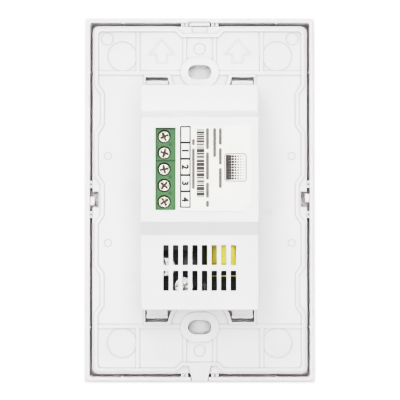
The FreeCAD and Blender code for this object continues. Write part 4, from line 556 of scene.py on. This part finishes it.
def printDigits(places):
    # each digit made a mesh, turned to read down the label: x less its height, z less its width
    for digit, (x, z) in zip(label["digits"], places):
        curve = bpy.data.curves.new("digit", "FONT")
        curve.body = digit
        curve.extrude = label["ink"]  # any thickness, for the two sides that are set below
        curve.offset = label["boldness"]
        text = bpy.data.objects.new("digit", curve)
        bpy.context.scene.collection.objects.link(text)
        bpy.context.view_layer.update()
        mesh = bpy.data.meshes.new_from_object(text.evaluated_get(bpy.context.evaluated_depsgraph_get()))
        bpy.data.objects.remove(text)
        flat = np.empty(len(mesh.vertices) * 3)
        mesh.vertices.foreach_get("co", flat)
        flat = flat.reshape(-1, 3)
        low, high = flat.min(0), flat.max(0)
        flat = (flat - (low + high) / 2) * label["digitHeight"] / (high - low)[1]
        level = labelTop + np.sign(flat[:, 2]) * label["ink"]
        points = np.stack([x - flat[:, 1], level, z - flat[:, 0]], -1)
        faces = [p.vertices[:] for p in mesh.polygons]
        addPiece("label_digit_" + digit, points, faces, blackInk, False)


def printBars():
    # bars and gaps of random widths, end to end: a plain pattern that reads as nothing
    draw = np.random.default_rng(label["seed"])
    low, high = label["barX"]
    length = (label["barZ"][1] - label["barZ"][0]) / label["module"]
    bars = draw.choice(label["barWidths"], label["bars"])
    gaps = draw.choice(label["gapWidths"], label["bars"])
    runs = np.stack([bars, gaps], -1).ravel()
    ends = np.cumsum(runs)
    count = np.searchsorted(ends, length) // 2 * 2 - 1
    first, last = ends[0:count:2] - runs[0:count:2], ends[0:count:2]
    z = label["barZ"][1] - (first + last) / 2 * label["module"]
    centres = np.stack([np.full(z.size, (low + high) / 2), z], -1)
    halves = np.stack([np.full(z.size, (high - low) / 2), (last - first) * label["module"] / 2], -1)
    loops = roundedLoops(centres, halves, np.full(z.size, label["barCorner"]), 2)
    points, faces = slabs(loops, *inkLevels)
    addPiece("label_bars", points, faces, warmInk, False)


def printColumns():
    # round-ended bars down each column: the pitch is the length over all shares and the gaps between
    centres, halves = [], []
    for low, high, top, bottom, lengths in label["columns"]:
        shares = np.array(lengths)
        pitch = (top - bottom) / (shares.sum() + shares.size - 1)
        start = top - (np.cumsum(shares + 1) - shares - 1) * pitch
        middle = np.full(shares.size, (low + high) / 2)
        centres.append(np.stack([middle, start - shares * pitch / 2], -1))
        wide = np.full(shares.size, (high - low) * label["longBar"] / 2)
        halves.append(np.stack([wide, shares * pitch / 2], -1))
    centres, halves = np.concatenate(centres), np.concatenate(halves)
    points, faces = slabs(roundedLoops(centres, halves, halves[:, 0], 5), *inkLevels)
    addPiece("label_words", points, faces, greyInk, False)


def printField():
    # a plain frame with a grid of squares that shrink evenly across it
    left, right, low, high = label["field"]
    margin = label["fieldMargin"]
    centre = [[(left + right) / 2, (low + high) / 2]]
    half = [[(right - left) / 2, (high - low) / 2]]
    loops = roundedLoops(centre, half, np.array([label["fieldCorner"]]), 8)
    points, faces = frames(loops, label["fieldLine"], *inkLevels)
    addPiece("label_field", points, faces, greyInk, False)
    across, down = label["fieldGrid"]
    x = np.linspace(right - margin, left + margin, across)
    z = np.linspace(low + margin, high - margin, down)
    centres = np.stack(np.meshgrid(x, z), -1).reshape(-1, 2)
    half = np.tile(np.linspace(*label["fieldSquare"], across), down)
    loops = roundedLoops(centres, np.stack([half, half], -1), half * label["squareCorner"], 2)
    points, faces = slabs(loops, *inkLevels)
    addPiece("label_grid", points, faces, warmInk, False)


printDigits(printBoxes())
printBars()
printColumns()
printField()
print("label printed")


# Small marks, and what shows through the vents

ejector = {  # mm
    "places": [(9.17, 16.44), (9.17, 6.26), (9.17, 1.17)],
    "radius": 0.44,
    "width": 0.17,
    "rise": 0.04,
    "root": 0.05,  # how deep the ring stands in the block
    "chamfer": (0.03, 0.02),  # in from the edge, down from the top
}


def ejectorMarks():
    # the ring that an ejector pin leaves: a low closed band between two radii
    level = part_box("terminal_block_2way")[1].y / mm
    outer = ejector["radius"]
    inner = outer - ejector["width"]
    low, high = level - ejector["root"], level + ejector["rise"]
    across, down = ejector["chamfer"]
    profile = [(inner, low), (inner, high), (outer - across, high), (outer, high - down), (outer, low)]
    profile.append(profile[0])
    points, faces = turned(profile, ejector["places"], 28)
    # the rings' darker green is painted shade
    addPiece("block_ejector_marks", points, faces, ringShadePolyamide)


gate = {
    "places": [(-22.53, -4.29)],
    # mm, radius and level, from under the plate's floor to the break
    "profile": [(0, -1.0), (0.5, -1.0), (0.46, -0.86), (0.3, -0.8), (0.12, -0.84), (0, -0.83)],
}


def gateScar():
    # the plate's moulding gate, cut off: a low stub with a hollow, broken top
    points, faces = turned(gate["profile"], gate["places"], 24)
    addPiece("gate_scar", points, faces, whiteAbs)


can = {
    "twist": {"output_capacitor": 0.4, "standby_capacitor": 1.1},  # radians, the way each score points
    "ring": 0.42,  # mm of sleeve shrunk over the edge
    "dome": 0.12,
    "scoreWidth": 0.22,
    "scoreDepth": 0.18,
    "scoreEnd": (0.86, 0.3),  # of the radius, and mm over which the score runs out there
    "skirt": 0.1,  # mm that the top goes down into the sleeve
    "rings": 22,
    "sectors": 72,
}


def scoredTop(node, twist):
    # a can's bare end: a low dome, 1 less r squared, less three grooves that fall off by distance squared
    low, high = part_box(node)
    x0, z0 = (low.x + high.x) / 2 / mm, (low.z + high.z) / 2 / mm
    outer = (high.x - low.x) / 2 / mm - can["ring"]
    level = high.y / mm
    r = np.linspace(0, 1, can["rings"])[:, None]
    angle = np.linspace(0, 2 * np.pi, can["sectors"], endpoint=False)[None]
    x, z = outer * r * np.cos(angle), outer * r * np.sin(angle)
    share, runOut = can["scoreEnd"]
    fade = np.clip((outer * share - np.hypot(x, z)) / runOut, 0, 1)
    height = np.tile(can["dome"] * (1 - r ** 2), can["sectors"])
    for way in twist + np.arange(3) * 2 * np.pi / 3:
        along = x * np.cos(way) + z * np.sin(way)
        aside = -x * np.sin(way) + z * np.cos(way)
        reach = np.hypot(aside, np.minimum(along, 0))
        height -= can["scoreDepth"] * fade * np.exp(-(reach / can["scoreWidth"]) ** 2)
    top = np.stack([x0 + x, level + height, z0 + z], -1)
    # the edge goes straight down and the underside closes at its centre
    under = np.full_like(x[:1], level - can["skirt"])
    skirt = np.stack([x0 + x[-1:], under, z0 + z[-1:]], -1)
    centre = np.stack([np.full_like(under, x0), under, np.full_like(under, z0)], -1)
    points = np.concatenate([top, skirt, centre])
    faces = gridFaces(len(points), can["sectors"], True)
    addPiece(node + "_top", points, faces, drawnCan)


solder = {  # mm
    "places": [(-1.53, -27.76), (-1.53, -29.05)],
    "lead": 0.18,  # radius
    "spread": 0.5,  # how far the cone's foot stands out from the lead
    "cone": 0.55,
    "leadEnd": (1.1, 1.18),  # above the board, where the cut tip starts and ends
    "tip": 0.1,
    "root": 0.05,
}


def solderJoints():
    # solder drawn up a cut lead: radius falls as a hollow cone to the lead, which stands out
    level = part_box("power_board")[1].y / mm
    radius, root = solder["lead"], level - solder["root"]
    t = np.linspace(0, 1, 7)
    cone = np.stack([radius + solder["spread"] * (1 - t) ** 2, level + solder["cone"] * t], -1)
    start, end = solder["leadEnd"]
    lead = [(radius, level + start), (solder["tip"], level + end), (0, level + end)]
    profile = [(0, root), (radius + solder["spread"], root), *cone, *lead]
    points, faces = turned(profile, solder["places"], 24)
    addPiece("solder_joints", points, faces, glintSolder)


tape = {  # mm
    "x": (-12.4, -2.4),
    "z": -24.6,
    "half": 0.16,
    "corner": 0.1,
    "levels": (-0.3, 0.05),  # from the bobbin's top
}


def tapeEdge():
    # the free edge of the tape past the winding: a thin slab with rounded corners
    left, right = tape["x"]
    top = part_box("transformer_bobbin")[1].y / mm
    half = [[(right - left) / 2, tape["half"]]]
    loops = roundedLoops([[(left + right) / 2, tape["z"]]], half, np.array([tape["corner"]]), 3)
    points, faces = slabs(loops, *(top + level for level in tape["levels"]))
    addPiece("winding_tape_edge", points, faces, finishes["transformer_winding"], False)


ejectorMarks()
gateScar()
for canNode, twist in can["twist"].items():
    scoredTop(canNode, twist)
solderJoints()
tapeEdge()
print("details made")


# Floor, light and camera

studio = {  # metres and watts
    "floor": -0.75,
    "floorSize": 12,
    "floorGlow": 1.9,  # a little less than the room behind
    "pulp": 0.04,  # across the paper's soft unevenness
    "ambient": 0.28,  # the room's light on matt surfaces
    "mirrored": 1.1,  # the room as glossy surfaces show it
    "background": 2.2,  # the room behind the object
    # place, size and power of each softbox, aimed at the switch
    "lights": {
        "key": ((0.02, 0.72, 0.05), 0.5, 3.8),
        "top": ((0.2, 0.7, 1.3), 0.8, 3.5),
        "low": ((-0.1, 0.5, -1.2), 0.8, 0.4),
        "left": ((1.3, 0.1, 0.3), 0.8, 1.6),
        "right": ((-1.3, 0.1, 0.2), 0.8, 1.0),
        "spark": ((0.02, 0.7, 0.04), 0.1, 0.2),
        "front": ((-0.7, -1.1, 0.8), 0.9, 8.0),
        "frontFill": ((0.9, -0.9, 0.1), 0.8, 2.5),
    },
    "bounces": 16,  # light gets deep into white hollows only by many of them
    # how the camera takes light, in to out, both linear: it keeps detail in the whites
    "whiteLevel": 2.0,
    "curve": [
        (0, 0), (0.1, 0.07), (0.2, 0.17), (0.27, 0.28), (0.4, 0.52), (0.53, 0.68), (0.68, 0.755),
        (0.82, 0.80), (0.92, 0.85), (1.0, 0.88), (1.1, 0.903), (1.25, 0.925), (1.5, 0.955), (2.0, 1.0),
    ],
}


def makeStudio():
    # a pale floor, softboxes aimed at the switch, and a room as bright as each kind of ray needs it
    half = studio["floorSize"] / 2
    corners = np.array([[-half, -half], [half, -half], [half, half], [-half, half]])
    mesh = bpy.data.meshes.new("floor")
    mesh.from_pydata(np.insert(corners, 2, studio["floor"], axis=1).tolist(), [], [(0, 1, 2, 3)])
    # matt studio paper, lit from below so that it stays pale
    paper, tree, shader, place = newFinish(
        "studioPaper", "#F7F7F7", 0.8, Emission_Strength=studio["floorGlow"]
    )
    shader.inputs["Emission Color"].default_value = linear("#FFFFFF")
    pulp = addNode(tree, "TexNoise", {"Scale": 1 / studio["pulp"]}, {"Vector": place})
    wire(tree, shader, {"Normal": addNode(tree, "Bump", {"Distance": 0.1 * mm}, {"Height": pulp})})
    mesh.materials.append(paper)
    floor = bpy.data.objects.new("floor", mesh)
    bpy.context.scene.collection.objects.link(floor)
    floor.visible_diffuse = False
    floor.visible_glossy = False
    for name, (spot, size, power) in studio["lights"].items():
        lamp = bpy.data.lights.new(name, "AREA")
        lamp.size = size
        lamp.energy = power
        light = bpy.data.objects.new(name, lamp)
        light.location = spot
        light.rotation_euler = (-Vector(spot)).to_track_quat("-Z", "Y").to_euler()
        light.visible_glossy = name != "key"  # its image would wash out the screws and cans
        bpy.context.scene.collection.objects.link(light)
    world = bpy.data.worlds.new("studio")
    bpy.context.scene.world = world
    world.use_nodes = True
    tree = world.node_tree
    sky = tree.nodes["Background"]
    sky.inputs["Color"].default_value = linear("#FFFFFF")
    rays = addNode(tree, "LightPath").outputs
    seen = studio["background"]
    matt = addNode(
        tree, "Math", {"operation": "MULTIPLY_ADD", 1: studio["ambient"] - seen, 2: seen},
        {0: rays["Is Diffuse Ray"]},
    )
    strength = addNode(
        tree, "Math", {"operation": "MULTIPLY_ADD", 1: studio["mirrored"] - seen},
        {0: rays["Is Glossy Ray"], 2: matt},
    )
    wire(tree, sky, {"Strength": strength})
    bpy.context.scene.cycles.diffuse_bounces = studio["bounces"]
    bpy.context.scene.cycles.max_bounces = studio["bounces"] + 8
    view = bpy.context.scene.view_settings
    view.view_transform = "Standard"
    view.use_curve_mapping = True
    mapping = view.curve_mapping
    mapping.white_level = [studio["whiteLevel"]] * 3
    mapping.extend = "HORIZONTAL"
    points = mapping.curves[3].points
    for taken, shown in studio["curve"][1:-1]:
        points.new(taken / studio["whiteLevel"], shown)
    mapping.update()


photo = {
    "distance": 0.5,  # metres
    "elevation": math.radians(-1.7),
    "focal": 1533,  # pixels of the 400 wide frame
    "width": 400,
    "aim": (-0.08 * mm, 0, -0.23 * mm),
}


def makeCamera():
    # stands back from the aim along the photograph's direction and looks at it
    camera = bpy.data.objects.new("camera", bpy.data.cameras.new("camera"))
    camera.data.lens = photo["focal"] * camera.data.sensor_width / photo["width"]
    camera.data.clip_start = 0.01
    away = Vector((0, math.cos(photo["elevation"]), math.sin(photo["elevation"])))
    camera.location = Vector(photo["aim"]) + away * photo["distance"]
    camera.rotation_euler = (-away).to_track_quat("-Z", "Y").to_euler()
    bpy.context.scene.collection.objects.link(camera)
    bpy.context.scene.camera = camera


makeStudio()
makeCamera()
print("studio ready")
